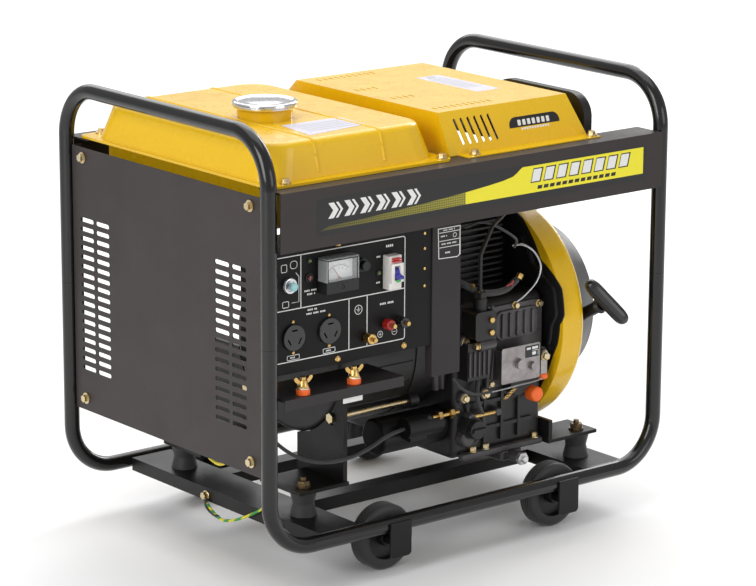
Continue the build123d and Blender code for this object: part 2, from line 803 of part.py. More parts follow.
def rope_direction():
    turn = math.radians(rope_angle)
    return (0, -math.cos(turn), math.sin(turn))


def recoil_housing():
    """A domed cup over the starter reel, with air slots, a rope guide and the reel's post."""
    x0, x1 = recoil_x
    depth = x1 - x0
    end_radius = recoil_radius - recoil_taper
    dome = cone((x0, crank_y, crank_z), (1, 0, 0), recoil_radius, end_radius, depth)
    dome = fillet(dome.edges().filter_by(GeomType.CIRCLE).group_by(Axis.X)[-1], 10)
    inside = cone((x0 - 1, crank_y, crank_z), (1, 0, 0), recoil_radius - recoil_wall,
                  end_radius - recoil_wall, depth - recoil_wall + 1)
    guide = rod(rope_point(guide_reach - 42), rope_direction(), guide_radius, 46)
    guide += cone(rope_point(guide_reach + 3), rope_direction(), guide_radius + 3, guide_radius, 5)
    cup = dome + guide - inside
    cup += rod(rope_point(guide_reach - 20), rope_direction(), guide_radius - 1, 20)
    post = rod((x1 - recoil_wall, crank_y, crank_z), (-1, 0, 0), reel_post, depth - 12)
    cup += post
    cup -= rod(rope_point(60), rope_direction(), rope_radius + moving_gap, 160)
    slot = Pos(x1, 0, end_radius - 32) * Box(2 * recoil_wall + 4, 8, 34)
    slots = []
    step = 360 / recoil_slot_count
    for i in range(recoil_slot_count):
        if i not in (5, 6):
            slots.append(Pos(0, crank_y, crank_z) * (Rot((i + 0.5) * step, 0, 0) * slot))
    return cup - slots


def recoil_reel():
    """The rope pulley, on the post inside the housing."""
    reel = rod((reel_x - reel_width / 2, crank_y, crank_z), (1, 0, 0), reel_radius, reel_width)
    bore = rod((reel_x - 20, crank_y, crank_z), (1, 0, 0), reel_post + running_gap, 40)
    hole = Pos(0, 0, reel_hole_circle) * (Rot(0, 90, 0) * Cylinder(reel_hole_radius, 40))
    holes = [Pos(reel_x, crank_y, crank_z) * (Rot(i * 60, 0, 0) * hole) for i in range(6)]
    return reel - bore - holes


def recoil_grip():
    """The pull grip and the straight length of rope that it draws out."""
    centre = Vector(*rope_point(grip_reach))
    lean = Vector(*grip_lean).normalized()
    bar = rod(centre - lean * (grip_length / 2), lean, grip_radius, grip_length)
    bar = fillet(bar.edges().filter_by(GeomType.CIRCLE), 5)
    stem_start = Vector(*rope_point(guide_reach + 9))
    bar += cone(stem_start, rope_direction(), 5, 7, grip_reach - guide_reach - 9)
    rope = rod(rope_point(-rope_tail), rope_direction(), rope_radius, grip_reach + rope_tail)
    return bar + rope


def alternator_stator():
    """Laminated stator ring between two end bells."""
    x0, x1 = stator_x
    core = x1 - x0 - 2 * bell_thickness
    ring = rod((x0 + bell_thickness, crank_y, crank_z), (1, 0, 0), stator_radius, core)
    ring -= rod((x0, crank_y, crank_z), (1, 0, 0), stator_radius - stator_thickness, x1 - x0)
    bell = rod((x0, crank_y, crank_z), (1, 0, 0), stator_radius + 2, bell_thickness)
    bell = fillet(bell.edges().filter_by(GeomType.CIRCLE).group_by(Axis.X)[0], 8)
    bell -= rod((x0 + 8, crank_y, crank_z), (1, 0, 0), stator_radius - 20, bell_thickness)
    flange_length = case_x[0] - 12 - weld_gap - (x1 - bell_thickness)
    flange = rod((x1 - bell_thickness, crank_y, crank_z), (1, 0, 0), stator_radius + 2, flange_length)
    flange -= rod((x1 - bell_thickness - 1, crank_y, crank_z), (1, 0, 0), stator_radius - 20,
                  flange_length - 8)
    body = ring + bell + flange
    body -= rod((x0 - 1, crank_y, crank_z), (1, 0, 0), crank_radius + running_gap, 400)
    for turn in bolt_turns:
        y, z = on_circle(through_bolt_circle, turn)
        for x in (x0 + 4, x1 - bell_thickness + 2):
            body += rod((x, y, z), (1, 0, 0), boss_radius, 14)
        body -= rod((x0 - 1, y, z), (1, 0, 0), through_bolt_radius + bolt_gap, 400)
    for i in range(vent_count):
        y, z = on_circle(stator_radius, (i + 0.5) * 360 / vent_count)
        body -= rod((x0 + bell_thickness + 6, y, z), (1, 0, 0), vent_radius, core - 12)
    return body


def on_circle(radius, turn):
    angle = math.radians(turn)
    return crank_y + radius * math.cos(angle), crank_z + radius * math.sin(angle)


def alternator_bolts():
    """Four long bolts that clamp the two bells to the stator."""
    bolts = []
    x0, x1 = stator_x
    for turn in bolt_turns:
        y, z = on_circle(through_bolt_circle, turn)
        start = x0 + 4 - weld_gap
        bolt = rod((start, y, z), (1, 0, 0), through_bolt_radius, x1 - bell_thickness + 14 - x0)
        bolt += hexagon((start, y, z), (-1, 0, 0), 7.5, 6)
        bolts.append(bolt)
    return bolts


def alternator_rotor():
    """Four wound poles on a sleeve that is keyed to the shaft."""
    x0, x1 = rotor_x
    body = rod((x0, crank_y, crank_z), (1, 0, 0), rotor_sleeve, x1 - x0)
    middle_radius = rotor_radius - 3 - pole_height / 2
    pole = Pos((x0 + x1) / 2, 0, middle_radius) * Box(x1 - x0 - 10, pole_width, pole_height)
    for i in range(4):
        body += Pos(0, crank_y, crank_z) * (Rot(i * 90 + 45, 0, 0) * pole)
    return body - rod((x0 - 1, crank_y, crank_z), (1, 0, 0), crank_radius + press_fit, 200)


def starter_motor():
    """The electric starter lies low beside the crankcase, its nose towards the flywheel."""
    y, z = starter_y, starter_z
    length = case_x[0] - weld_gap - starter_start_x
    body = rod((starter_start_x, y, z), (1, 0, 0), starter_radius, length)
    body = fillet(body.edges().filter_by(GeomType.CIRCLE).group_by(Axis.X)[0], 4)
    solenoid = rod((-solenoid_length, y - 36, z + 16), (1, 0, 0), solenoid_radius, solenoid_length)
    saddle = block((-50, -20), (y - 36, y), (z - 6, z + 20))
    return body + solenoid + saddle


def injection_pump():
    """Pump body on the case, the fuel union on top and the steel pipe up to the injector."""
    mouth_y = case_front - 16
    pump = block((pump_x - pump_half, pump_x + pump_half),
                 (case_front - pump_depth, case_front - weld_gap), pump_z)
    pump = fillet(pump.edges().filter_by(Axis.Y), 6)
    pump += rod((pump_x, mouth_y, pump_z[1] - 1), (0, 0, 1), 10, 18)
    pump += hexagon((pump_x, mouth_y, pump_z[1] + 17), (0, 0, 1), 9, 9)
    points = [
        (pump_x, mouth_y, 355),
        (pump_x, mouth_y, 410),
        (pump_x + 26, case_front - 10, 446),
        (pump_x + 70, case_front + 12, 456),
        (pump_x + 96, case_front + 44, 462),
    ]
    path = FilletPolyline(*points, radius=14)
    start = Plane(origin=path @ 0, z_dir=path % 0)
    pipe = sweep(start * Circle(3), path=path)
    return pump + pipe


def speed_plate():
    """The bright plate that carries the speed control screws, on a folded edge and a post."""
    face = case_front - plate_stand
    front = face - plate_sheet
    low, high = plate_z
    plate = block(plate_x, (front, face), plate_z)
    plate = fillet(plate.edges().filter_by(Axis.Y), 3)
    plate += block((plate_x[0], plate_x[0] + plate_sheet), (face - 1, face + 20), (low + 4, high - 4))
    plate += rod((108, face, 236), (0, 1, 0), 6, plate_stand - weld_gap)
    plate += hexagon((126, front, 244), (0, -1, 0), 8, 6)
    plate += hexagon((151, front, 237), (0, -1, 0), 6.5, 5)
    return plate


def speed_lever():
    """The speed lever turns on a pin in the case boss."""
    y = case_front - 16
    lever = rod((speed_x, y + 26, speed_z), (0, -1, 0), speed_pin, 32)
    arm = block((speed_x - 6, speed_x + 6), (y - 5, y - 1), (speed_z - 34, speed_z + 8))
    arm = fillet(arm.edges().filter_by(Axis.Y), 4)
    return lever + arm


def stop_knob():
    """A push knob on a stem; pressing it shuts the fuel off."""
    y = case_front - 14
    knob = rod((stop_x, y, stop_z), (0, -1, 0), stop_radius, stop_length)
    knob = fillet(knob.edges().filter_by(GeomType.CIRCLE).group_by(Axis.Y)[0], 4)
    return knob + rod((stop_x, y, stop_z), (0, 1, 0), stop_stem, 34)


def oil_cap():
    """The slotted oil filler cap."""
    y = case_front + 1 - oil_neck - 1 - weld_gap
    cap = rod((oil_x, y, oil_z), (0, -1, 0), oil_radius, 9)
    cap = fillet(cap.edges().filter_by(GeomType.CIRCLE).group_by(Axis.Y)[0], 2)
    cap += block((oil_x - 12, oil_x + 12), (y - 13, y - 8), (oil_z - 2.5, oil_z + 2.5))
    return cap + rod((oil_x, y, oil_z), (0, 1, 0), oil_plug, 24)


def face_hole(x, z, radius):
    """Cuts the panel face only."""
    return rod((x, panel_face_y - 5, z), (0, 1, 0), radius, 12)


def face_window(x, z, width, height):
    return block((x - width / 2, x + width / 2), (panel_face_y - 5, panel_face_y + 6),
                 (z - height / 2, z + height / 2))


def control_panel():
    """A sheet box, open at the back, with a hole for each instrument."""
    box = block(box_x, (panel_face_y, box_back), box_z)
    box -= block((box_x[0] + box_sheet, box_x[1] - box_sheet), (panel_face_y + box_sheet, box_back + 1),
                 (box_z[0] + box_sheet, box_z[1] - box_sheet))
    cuts = [face_window(meter_x, meter_z, 46, 39), face_window(breaker_x, breaker_z, breaker_width + 1,
                                                               breaker_height + 1)]
    cuts += [face_hole(x, z, lamp_radius + bolt_gap) for x, z in lamp_spots]
    cuts += [face_hole(x, z, socket_radius - 1.5) for x, z in socket_spots]
    cuts += [face_hole(x, output_z, terminal_radius + bolt_gap) for x in output_x]
    cuts.append(face_hole(earth_x, earth_z, terminal_radius + bolt_gap))
    cuts.append(face_hole(key_x, key_z, key_radius - 2 + bolt_gap))
    cuts.append(face_hole(fuse_x, fuse_z, fuse_radius))
    return box + label_post() - cuts


def voltmeter_case():
    """A square moulded body that stands proud of the panel, hollow behind its glass."""
    front = panel_face_y - meter_stand
    half_w, half_h = meter_width / 2, meter_height / 2
    case = block((meter_x - half_w, meter_x + half_w), (front, panel_face_y - weld_gap),
                 (meter_z - half_h, meter_z + half_h))
    case += rod((meter_x, panel_face_y - 1, meter_z), (0, 1, 0), 19, meter_body)
    room = block((meter_x - half_w + 3, meter_x + half_w - 3), (front - 1, front + 10),
                 (meter_z - half_h + 16, meter_z + half_h - 3))
    case -= room
    return case - rod((meter_x, front, meter_z - 5), (0, 1, 0), 1.5 + running_gap, 22)


def voltmeter_lens():
    """The clear plate that closes the dial's window."""
    front = panel_face_y - meter_stand
    half_w, half_h = meter_width / 2, meter_height / 2
    return block((meter_x - half_w + 3.2, meter_x + half_w - 3.2), (front + 0.2, front + 2),
                 (meter_z - half_h + 16.2, meter_z + half_h - 3.2))


def voltmeter_needle():
    """The pointer, resting at the low end of its dial."""
    y = panel_face_y - meter_stand + 6
    z = meter_z - 5
    tilt = math.radians(needle_swing / 2)
    tip = (-math.sin(tilt), 0, math.cos(tilt))
    needle = rod((meter_x, y, z), tip, 0.5, 19)
    return needle + rod((meter_x, y - 1, z), (0, 1, 0), 1.5, 16)


def key_switch():
    """Round switch body with a bright bezel."""
    face = panel_face_y - weld_gap
    body = rod((key_x, face, key_z), (0, -1, 0), key_radius, 5)
    body = fillet(body.edges().filter_by(GeomType.CIRCLE).group_by(Axis.Y)[0], 1.5)
    body += rod((key_x, face - 1, key_z), (0, 1, 0), key_radius - 2, 30)
    return body - rod((key_x, face - 10, key_z), (0, 1, 0), key_rotor_radius + running_gap, 30)


def key_rotor():
    """The turning barrel with its thumb blade."""
    face = panel_face_y - weld_gap - 5
    barrel = rod((key_x, face - 0.5, key_z), (0, 1, 0), key_rotor_radius, 22)
    return barrel + block((key_x - 1.2, key_x + 1.2), (face - 9, face), (key_z - 5, key_z + 5))


def breaker_body():
    """A narrow breaker, with a slot for its toggle."""
    half_w, half_h = breaker_width / 2, breaker_height / 2
    front = panel_face_y - breaker_stand
    body = block((breaker_x - half_w, breaker_x + half_w), (front, panel_face_y + 40),
                 (breaker_z - half_h, breaker_z + half_h))
    body += block((breaker_x - half_w, breaker_x + half_w), (front - 5, front + 1),
                  (breaker_z - 13, breaker_z + 13))
    return body - block((breaker_x - 5, breaker_x + 5), (front - 6, front + 9),
                        (breaker_z - 10, breaker_z + 10))


def breaker_toggle():
    """The toggle turns on a cross pin inside the breaker."""
    front = panel_face_y - breaker_stand
    y = front + 2
    barrel = rod((breaker_x - 4.5, y, breaker_z), (1, 0, 0), 6, 9)
    tilt = math.radians(toggle_swing / 2)
    out = (0, -math.cos(tilt), -math.sin(tilt))
    stem = Plane(origin=(breaker_x, y, breaker_z), z_dir=out, x_dir=(1, 0, 0)) * (
        Pos(0, 0, 8) * Box(9, 3.4, 16))
    return barrel + stem


def fuse_cap():
    """The screwed fuse cap, with its carrier through the panel."""
    face = panel_face_y - moving_gap
    cap = rod((fuse_x, face, fuse_z), (0, -1, 0), fuse_radius + 1.5, 8)
    cap += rod((fuse_x, face - 7, fuse_z), (0, -1, 0), fuse_radius - 1, 9)
    return cap + rod((fuse_x, face, fuse_z), (0, 1, 0), fuse_radius - moving_gap, 26)


def outlet_socket(x, z):
    """A round locking outlet with three curved slots in its face."""
    face = panel_face_y - weld_gap
    body = rod((x, face, z), (0, -1, 0), socket_radius, 4)
    body = fillet(body.edges().filter_by(GeomType.CIRCLE).group_by(Axis.Y)[0], 1.5)
    body += rod((x, face - 1, z), (0, 1, 0), socket_radius - 2, 24)
    slots = []
    for turn in (90, 210, 330):
        angle = math.radians(turn)
        slot_x = x + socket_slot_circle * math.cos(angle)
        slot_z = z + socket_slot_circle * math.sin(angle)
        spot = Pos(slot_x, face - 4, slot_z)
        slots.append(spot * (Rot(0, -turn - 90, 0) * Box(socket_slot_length, 30, socket_slot_width)))
    return body - slots


def terminal_stud(x, z):
    """A threaded brass stud through the panel, clamped by a flange in front."""
    start = (x, panel_face_y + 14, z)
    stud = rod(start, (0, -1, 0), terminal_radius, terminal_length)
    return stud + rod((x, panel_face_y - weld_gap, z), (0, -1, 0), 5.5, 2.5)


def weld_stud(x):
    """A heavy upright stud on the shelf, with its fixing nut."""
    stud = rod((x, weld_stud_y, shelf_top - 12), (0, 0, 1), weld_stud_radius, 36)
    top = shelf_top + weld_gap + insulator_height
    return stud + hexagon((x, weld_stud_y, top + weld_gap), (0, 0, 1), 8, 3)


def weld_insulator(x):
    """A moulded collar round the foot of each stud."""
    low = shelf_top + weld_gap
    collar = rod((x, weld_stud_y, low), (0, 0, 1), insulator_radius, insulator_height)
    collar = fillet(collar.edges().filter_by(GeomType.CIRCLE).group_by(Axis.Z)[-1], 2)
    return collar - rod((x, weld_stud_y, low - 1), (0, 0, 1), weld_stud_radius + 0.2, 20)


def wing_nut(x):
    low = shelf_top + 3 * weld_gap + insulator_height + 3
    nut = cone((x, weld_stud_y, low), (0, 0, 1), 7.5, 6, 8)
    for side in (-1, 1):
        wing = Pos(x + side * 9.5, weld_stud_y, low + 6.5) * (Rot(0, side * 25, 0) * Box(11, 2.5, 9))
        nut += wing
    return nut - rod((x, weld_stud_y, low - 1), (0, 0, 1), weld_stud_radius + running_gap, 20)


def round_knob(x, z):
    """A fluted terminal knob that screws along its stud."""
    face = panel_face_y - weld_gap - 2.5 - moving_gap
    knob = rod((x, face, z), (0, -1, 0), knob_radius, knob_length)
    knob = fillet(knob.edges().filter_by(GeomType.CIRCLE).group_by(Axis.Y)[0], 2)
    flutes = []
    for i in range(8):
        angle = math.radians(i * 45)
        spot = (x + knob_radius * math.cos(angle), face + 1, z + knob_radius * math.sin(angle))
        flutes.append(rod(spot, (0, -1, 0), 1.3, knob_length - 2))
    knob -= flutes
    return knob - rod((x, face + 1, z), (0, -1, 0), terminal_radius + running_gap, 40)


def weld_shelf():
    """The folded shelf under the control panel that carries the weld terminals."""
    shelf = block(shelf_x, (shelf_front, shelf_back), (shelf_top - shelf_sheet, shelf_top))
    shelf += block(shelf_x, (shelf_front, shelf_front + 2), (shelf_top - shelf_lip, shelf_top))
    for x in weld_stud_x:
        shelf -= rod((x, weld_stud_y, shelf_top - 20), (0, 0, 1), weld_stud_radius + bolt_gap, 40)
    return shelf


def label_post():
    """The folded upright strip between the panel and the engine."""
    top = beam_top - beam_height - weld_gap
    post = block(post_x, (panel_face_y - 2, panel_face_y), (post_bottom, top))
    for x in post_x:
        inward = 1 if x == post_x[0] else -1
        post += block(sorted((x, x + inward * 2)), (panel_face_y - 2, panel_face_y + post_return),
                      (post_bottom, top))
    return post


def lead(points, radius):
    """A wire along straight runs joined by arcs, each arc as large as its runs allow."""
    path_points = [Vector(*p) for p in points]
    radii = []
    for before, at, after in zip(path_points, path_points[1:], path_points[2:]):
        turn = math.radians((at - before).get_angle(after - at))
        run = min((at - before).length, (after - at).length)
        radii.append(0.45 * run / math.tan(turn / 2))
    path = FilletPolyline(*points, radius=radii)
    start = Plane(origin=path @ 0, z_dir=path % 0)
    return sweep(start * Circle(radius), path=path)


# the harness lead hangs between the control box and the starter, held at both ends
starter_lead_points = (
    (-318.0, -156.5, 309.5),
    (-320.0, -157.5, 268.0),
    (-314.0, -168.0, 232.0),
    (-294.0, -182.0, 200.0),
    (-262.0, -191.0, 176.0),
    (-222.0, -194.0, 164.0),
    (-176.0, -192.0, 162.0),
    (-134.0, -184.0, 168.0),
    (-98.0, -172.0, 174.0),
    (-62.6, -165.0, 176.0),
)

# the earth wire runs from the control box down to a bolt on the base
earth_wire_points = (
    (-300.0, -156.5, 309.5),
    (-302.0, -158.0, 262.0),
    (-300.0, -152.0, 214.0),
    (-292.0, -136.0, 166.0),
    (-278.0, -106.0, 122.0),
    (-266.0, -66.0, 86.0),
    (-260.0, -26.0, 58.0),
    (-258.0, 8.0, 47.0),
    (-257.5, 34.0, 55.0),
    (-257.0, 40.0, 63.0),
)

# ---- build every node ----
save("frame_left_hoop", handle_hoop(-1))
save("frame_right_hoop", handle_hoop(1))
save("frame_front_rail", bottom_rail(-1))
save("frame_rear_rail", bottom_rail(1))
save("engine_base", engine_base())
save("front_top_beam", top_beam(-1))
save("rear_top_beam", top_beam(1))
save("left_end_panel", left_end_panel())
save("flange_bolts", *flange_bolts())
save("rubber_mounts", *[rubber_mount(x, y) for x, y in mount_spots()])
save("engine_brackets", *engine_brackets())
save("mount_bolts", *[mount_bolt(x, y) for x, y in mount_spots()])

wheel_names = {(-1, 0): "front_left", (-1, 1): "front_right", (1, 0): "rear_left", (1, 1): "rear_right"}
brackets = []
for (side, end), name in wheel_names.items():
    save(f"{name}_wheel", wheel(wheel_x[end], side * wheel_y))
    brackets.append(wheel_bracket(wheel_x[end], side))
save("wheel_brackets", *brackets)

save("fuel_tank", fuel_tank())
save("fuel_cap", fuel_cap())
save("muffler", muffler())
save("muffler_cover", muffler_cover())
save("air_cleaner", air_cleaner())

save("crankcase", crankcase())
save("cylinder", finned_cylinder())
save("cylinder_head", cylinder_head())
save("piston", piston())
save("crankshaft", crankshaft())
save("flywheel", flywheel())
save("fan_shroud", fan_shroud())
save("recoil_housing", recoil_housing())
save("recoil_reel", recoil_reel())
save("recoil_grip", recoil_grip())
save("alternator_stator", alternator_stator())
save("alternator_bolts", *alternator_bolts())
save("alternator_rotor", alternator_rotor())
save("starter_motor", starter_motor())
save("injection_pump", injection_pump())
save("speed_plate", speed_plate())
save("speed_lever", speed_lever())
save("stop_knob", stop_knob())
save("oil_cap", oil_cap())

save("control_panel", control_panel())
save("voltmeter_case", voltmeter_case())
save("voltmeter_lens", voltmeter_lens())
save("voltmeter_needle", voltmeter_needle())
save("key_switch", key_switch())
save("key_rotor", key_rotor())
save("breaker_body", breaker_body())
save("breaker_toggle", breaker_toggle())
save("fuse_cap", fuse_cap())
save("outlet_sockets", *[outlet_socket(x, z) for x, z in socket_spots])
studs = [terminal_stud(earth_x, earth_z)] + [terminal_stud(x, output_z) for x in output_x]
studs += [weld_stud(x) for x in weld_stud_x]
save("terminal_studs", *studs)
save("earth_knob", round_knob(earth_x, earth_z))
save("red_terminal_knob", round_knob(output_x[0], output_z))
save("black_terminal_knob", round_knob(output_x[1], output_z))
save("weld_shelf", weld_shelf())
save("weld_insulators", *[weld_insulator(x) for x in weld_stud_x])
save("left_wing_nut", wing_nut(weld_stud_x[0]))
save("right_wing_nut", wing_nut(weld_stud_x[1]))
save("harness_leads", lead(starter_lead_points, lead_radius), lead(earth_wire_points, earth_wire_radius))
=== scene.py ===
import json
import math

import bmesh
import bpy
from mathutils import Matrix, Vector
from mathutils.bvhtree import BVHTree


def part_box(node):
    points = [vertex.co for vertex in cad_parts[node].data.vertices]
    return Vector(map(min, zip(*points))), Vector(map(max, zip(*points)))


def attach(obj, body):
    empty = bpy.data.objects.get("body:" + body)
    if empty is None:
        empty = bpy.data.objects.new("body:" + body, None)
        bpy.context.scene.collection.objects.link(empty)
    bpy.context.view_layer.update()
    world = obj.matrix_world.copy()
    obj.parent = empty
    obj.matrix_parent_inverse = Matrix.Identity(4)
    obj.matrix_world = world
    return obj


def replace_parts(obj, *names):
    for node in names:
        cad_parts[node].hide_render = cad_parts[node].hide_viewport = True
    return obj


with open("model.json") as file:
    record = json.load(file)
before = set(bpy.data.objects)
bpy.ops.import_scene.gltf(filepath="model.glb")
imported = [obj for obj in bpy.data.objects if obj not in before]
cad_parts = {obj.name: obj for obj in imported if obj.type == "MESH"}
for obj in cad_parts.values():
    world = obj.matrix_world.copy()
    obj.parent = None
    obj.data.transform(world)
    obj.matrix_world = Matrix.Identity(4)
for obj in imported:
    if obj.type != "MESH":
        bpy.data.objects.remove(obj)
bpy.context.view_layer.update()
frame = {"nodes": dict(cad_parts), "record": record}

# ---------------------------------------------------------------- camera, light and floor
# The camera looks from the front left, slightly down, through a long lens.
CAMERA_AZIMUTH = math.radians(-39.01)
CAMERA_ELEVATION = math.radians(14.13)
CAMERA_ROLL = math.radians(0.278)
CAMERA_DISTANCE = 4.530
SENSOR_WIDTH = 36.0
LENS = 151.15
AIM_RIGHT = 0.0180          # the optical axis passes this far right of the frame's middle
AIM_UP = -0.0236
FRAME_MIDDLE = Vector((0.0, 0.0, 0.3528))


def add_camera():
    sin_a, cos_a = math.sin(CAMERA_AZIMUTH), math.cos(CAMERA_AZIMUTH)
    sin_e, cos_e = math.sin(CAMERA_ELEVATION), math.cos(CAMERA_ELEVATION)
    back = Vector((sin_a * cos_e, -cos_a * cos_e, sin_e))
    flat_right = Vector((cos_a, sin_a, 0.0))
    flat_up = back.cross(flat_right)
    right = flat_right * math.cos(CAMERA_ROLL) + flat_up * math.sin(CAMERA_ROLL)
    up = back.cross(right)
    target = FRAME_MIDDLE + right * AIM_RIGHT + up * AIM_UP
    place = target + back * CAMERA_DISTANCE
    turn = Matrix((right, up, back)).transposed().to_4x4()
    data = bpy.data.cameras.new("camera")
    data.lens = LENS
    data.sensor_width = SENSOR_WIDTH
    data.clip_end = 50.0
    camera = bpy.data.objects.new("camera", data)
    camera.matrix_world = Matrix.Translation(place) @ turn
    bpy.context.scene.collection.objects.link(camera)
    bpy.context.scene.camera = camera


def add_area_light(name, place, aim, size, power):
    data = bpy.data.lights.new(name, "AREA")
    data.shape = "RECTANGLE"
    data.size, data.size_y = size
    data.energy = power
    light = bpy.data.objects.new(name, data)
    light.location = place
    light.rotation_euler = (Vector(aim) - Vector(place)).to_track_quat("-Z", "Y").to_euler()
    bpy.context.scene.collection.objects.link(light)


def add_lights():
    middle = (0.0, 0.0, 0.35)
    add_area_light("key_left", (-3.2, -0.9, 1.7), middle, (1.6, 2.4), 64.0)
    add_area_light("key_top", (0.2, 0.3, 3.2), middle, (3.2, 2.6), 42.0)
    add_area_light("fill_front", (0.9, -3.4, 1.2), middle, (2.0, 1.6), 20.0)
    add_area_light("rim_right", (3.0, 1.2, 1.6), middle, (0.8, 2.0), 30.0)
    add_area_light("backdrop_wash", (4.6, 5.6, 4.2), (4.6, 5.6, 0.0), (9.0, 9.0), 520.0)
    world = bpy.data.worlds.new("studio")
    world.use_nodes = True
    background = world.node_tree.nodes["Background"]
    background.inputs["Color"].default_value = (1.0, 1.0, 1.0, 1.0)
    background.inputs["Strength"].default_value = 0.5
    bpy.context.scene.world = world
    bpy.context.scene.view_settings.view_transform = "Standard"
    bpy.context.scene.view_settings.look = "None"


def add_floor():
    """A large, flat, pale floor."""
    bpy.ops.mesh.primitive_plane_add(size=40.0, location=(0.0, 0.0, 0.0))
    floor = bpy.context.object
    floor.name = "studio_floor"
    floor.data.materials.append(plain_material("floor_white", (0.86, 0.86, 0.86), 0.9))


# ---------------------------------------------------------------- materials
def plain_material(name, colour, roughness):
    material = bpy.data.materials.new(name)
    material.use_nodes = True
    shader = material.node_tree.nodes["Principled BSDF"]
    shader.inputs["Base Color"].default_value = (*colour, 1.0)
    shader.inputs["Roughness"].default_value = roughness
    return material


class Surface:
    """A Principled material with small helpers for its procedural detail."""

    def __init__(self, name, **uniform):
        self.material = bpy.data.materials.new(name)
        self.material.use_nodes = True
        self.tree = self.material.node_tree
        self.shader = self.tree.nodes["Principled BSDF"]
        for socket, value in uniform.items():
            self.shader.inputs[socket.replace("_", " ")].default_value = value
        self.position = self.tree.nodes.new("ShaderNodeNewGeometry").outputs["Position"]

    def node(self, kind, **values):
        made = self.tree.nodes.new(kind)
        for key, value in values.items():
            setattr(made, key, value)
        return made

    def link(self, start, end):
        self.tree.links.new(start, end)

    def noise(self, scale, detail=3.0, roughness=0.5, stretch=None):
        made = self.node("ShaderNodeTexNoise")
        made.inputs["Scale"].default_value = scale
        made.inputs["Detail"].default_value = detail
        made.inputs["Roughness"].default_value = roughness
        vector = self.position
        if stretch:
            mapping = self.node("ShaderNodeMapping")
            mapping.inputs["Scale"].default_value = stretch
            self.link(self.position, mapping.inputs["Vector"])
            vector = mapping.outputs["Vector"]
        self.link(vector, made.inputs["Vector"])
        return made.outputs["Fac"]

    def ramp(self, value, low, high, low_at=0.0, high_at=1.0):
        made = self.node("ShaderNodeMapRange")
        made.inputs["From Min"].default_value = low_at
        made.inputs["From Max"].default_value = high_at
        made.inputs["To Min"].default_value = low
        made.inputs["To Max"].default_value = high
        self.link(value, made.inputs["Value"])
        return made.outputs["Result"]

    def mix(self, factor, first, second):
        made = self.node("ShaderNodeMix", data_type="RGBA")
        for index, colour in ((6, first), (7, second)):
            if hasattr(colour, "links"):
                self.link(colour, made.inputs[index])
            else:
                made.inputs[index].default_value = (*colour, 1.0)
        self.link(factor, made.inputs[0])
        return made.outputs[2]

    def blend(self, value, first, second, low_at=0.3, high_at=0.7):
        """The first colour below low_at, the second above high_at."""
        return self.mix(self.ramp(value, 0.0, 1.0, low_at, high_at), first, second)

    def colour(self, source):
        self.link(source, self.shader.inputs["Base Color"])

    def roughness(self, source, middle, low, high, low_at=0.3, high_at=0.7):
        """Roughness between two shares of its middle value."""
        varied = self.ramp(source, middle * low, middle * high, low_at, high_at)
        self.link(varied, self.shader.inputs["Roughness"])

    def worn_colour(self, base, worn, wear, broken):
        """The base colour, with the worn one in broken patches along sharp edges."""
        mask = self.multiply(self.multiply(self.edges(), broken), wear)
        self.colour(self.mix(mask, base, worn))

    def bump(self, source, distance, strength=1.0):
        made = self.node("ShaderNodeBump")
        made.inputs["Distance"].default_value = distance
        made.inputs["Strength"].default_value = strength
        self.link(source, made.inputs["Height"])
        self.link(made.outputs["Normal"], self.shader.inputs["Normal"])

    def edges(self, radius=0.0012, sharp=0.06):
        """One along sharp edges and zero on flat faces."""
        bevel = self.node("ShaderNodeBevel", samples=4)
        bevel.inputs["Radius"].default_value = radius
        geometry = self.node("ShaderNodeNewGeometry")
        product = self.node("ShaderNodeVectorMath", operation="DOT_PRODUCT")
        self.link(bevel.outputs["Normal"], product.inputs[0])
        self.link(geometry.outputs["Normal"], product.inputs[1])
        return self.ramp(product.outputs["Value"], 1.0, 0.0, 1.0 - sharp, 1.0)

    def multiply(self, first, second):
        made = self.node("ShaderNodeMath", operation="MULTIPLY")
        self.link(first, made.inputs[0])
        if hasattr(second, "links"):
            self.link(second, made.inputs[1])
        else:
            made.inputs[1].default_value = second
        return made.outputs["Value"]


def shade(colour, factor):
    return tuple(min(1.0, channel * factor) for channel in colour)


def gloss_paint(name, colour, roughness=0.22, coat=0.6, wear=0.35, worn=(0.30, 0.27, 0.24), peel=0.00012):
    """Enamel: orange peel, faint colour drift, and the worn colour along sharp edges."""
    surface = Surface(name, Coat_Weight=coat, Coat_Roughness=0.07, Specular_IOR_Level=0.35)
    drift = surface.noise(7.0, 4.0, 0.6)
    base = surface.blend(drift, shade(colour, 0.97), shade(colour, 1.02))
    broken = surface.ramp(surface.noise(180.0, 5.0, 0.7), 0.0, 1.0, 0.52, 0.70)
    surface.worn_colour(base, worn, wear, broken)
    smear = surface.noise(24.0, 5.0, 0.65)
    surface.roughness(smear, roughness, 0.75, 1.45)
    surface.bump(surface.noise(420.0, 2.0, 0.5), peel, 0.35)
    return surface.material


def satin_powder(name, colour, roughness=0.42, grain=0.00018, wear=0.3, worn=(0.28, 0.25, 0.23)):
    """Powder coat: fine texture, soft gloss, faint colour drift and chipped edges."""
    surface = Surface(name, Coat_Weight=0.04, Coat_Roughness=0.3, Specular_IOR_Level=0.24)
    drift = surface.noise(5.0, 4.0, 0.6)
    base = surface.blend(drift, shade(colour, 0.90), shade(colour, 1.10))
    broken = surface.ramp(surface.noise(240.0, 4.0, 0.7), 0.0, 1.0, 0.54, 0.72)
    surface.worn_colour(base, worn, wear, broken)
    smear = surface.noise(16.0, 5.0, 0.6)
    surface.roughness(smear, roughness, 0.85, 1.2)
    surface.bump(surface.noise(1500.0, 2.0, 0.6), grain, 0.4)
    return surface.material


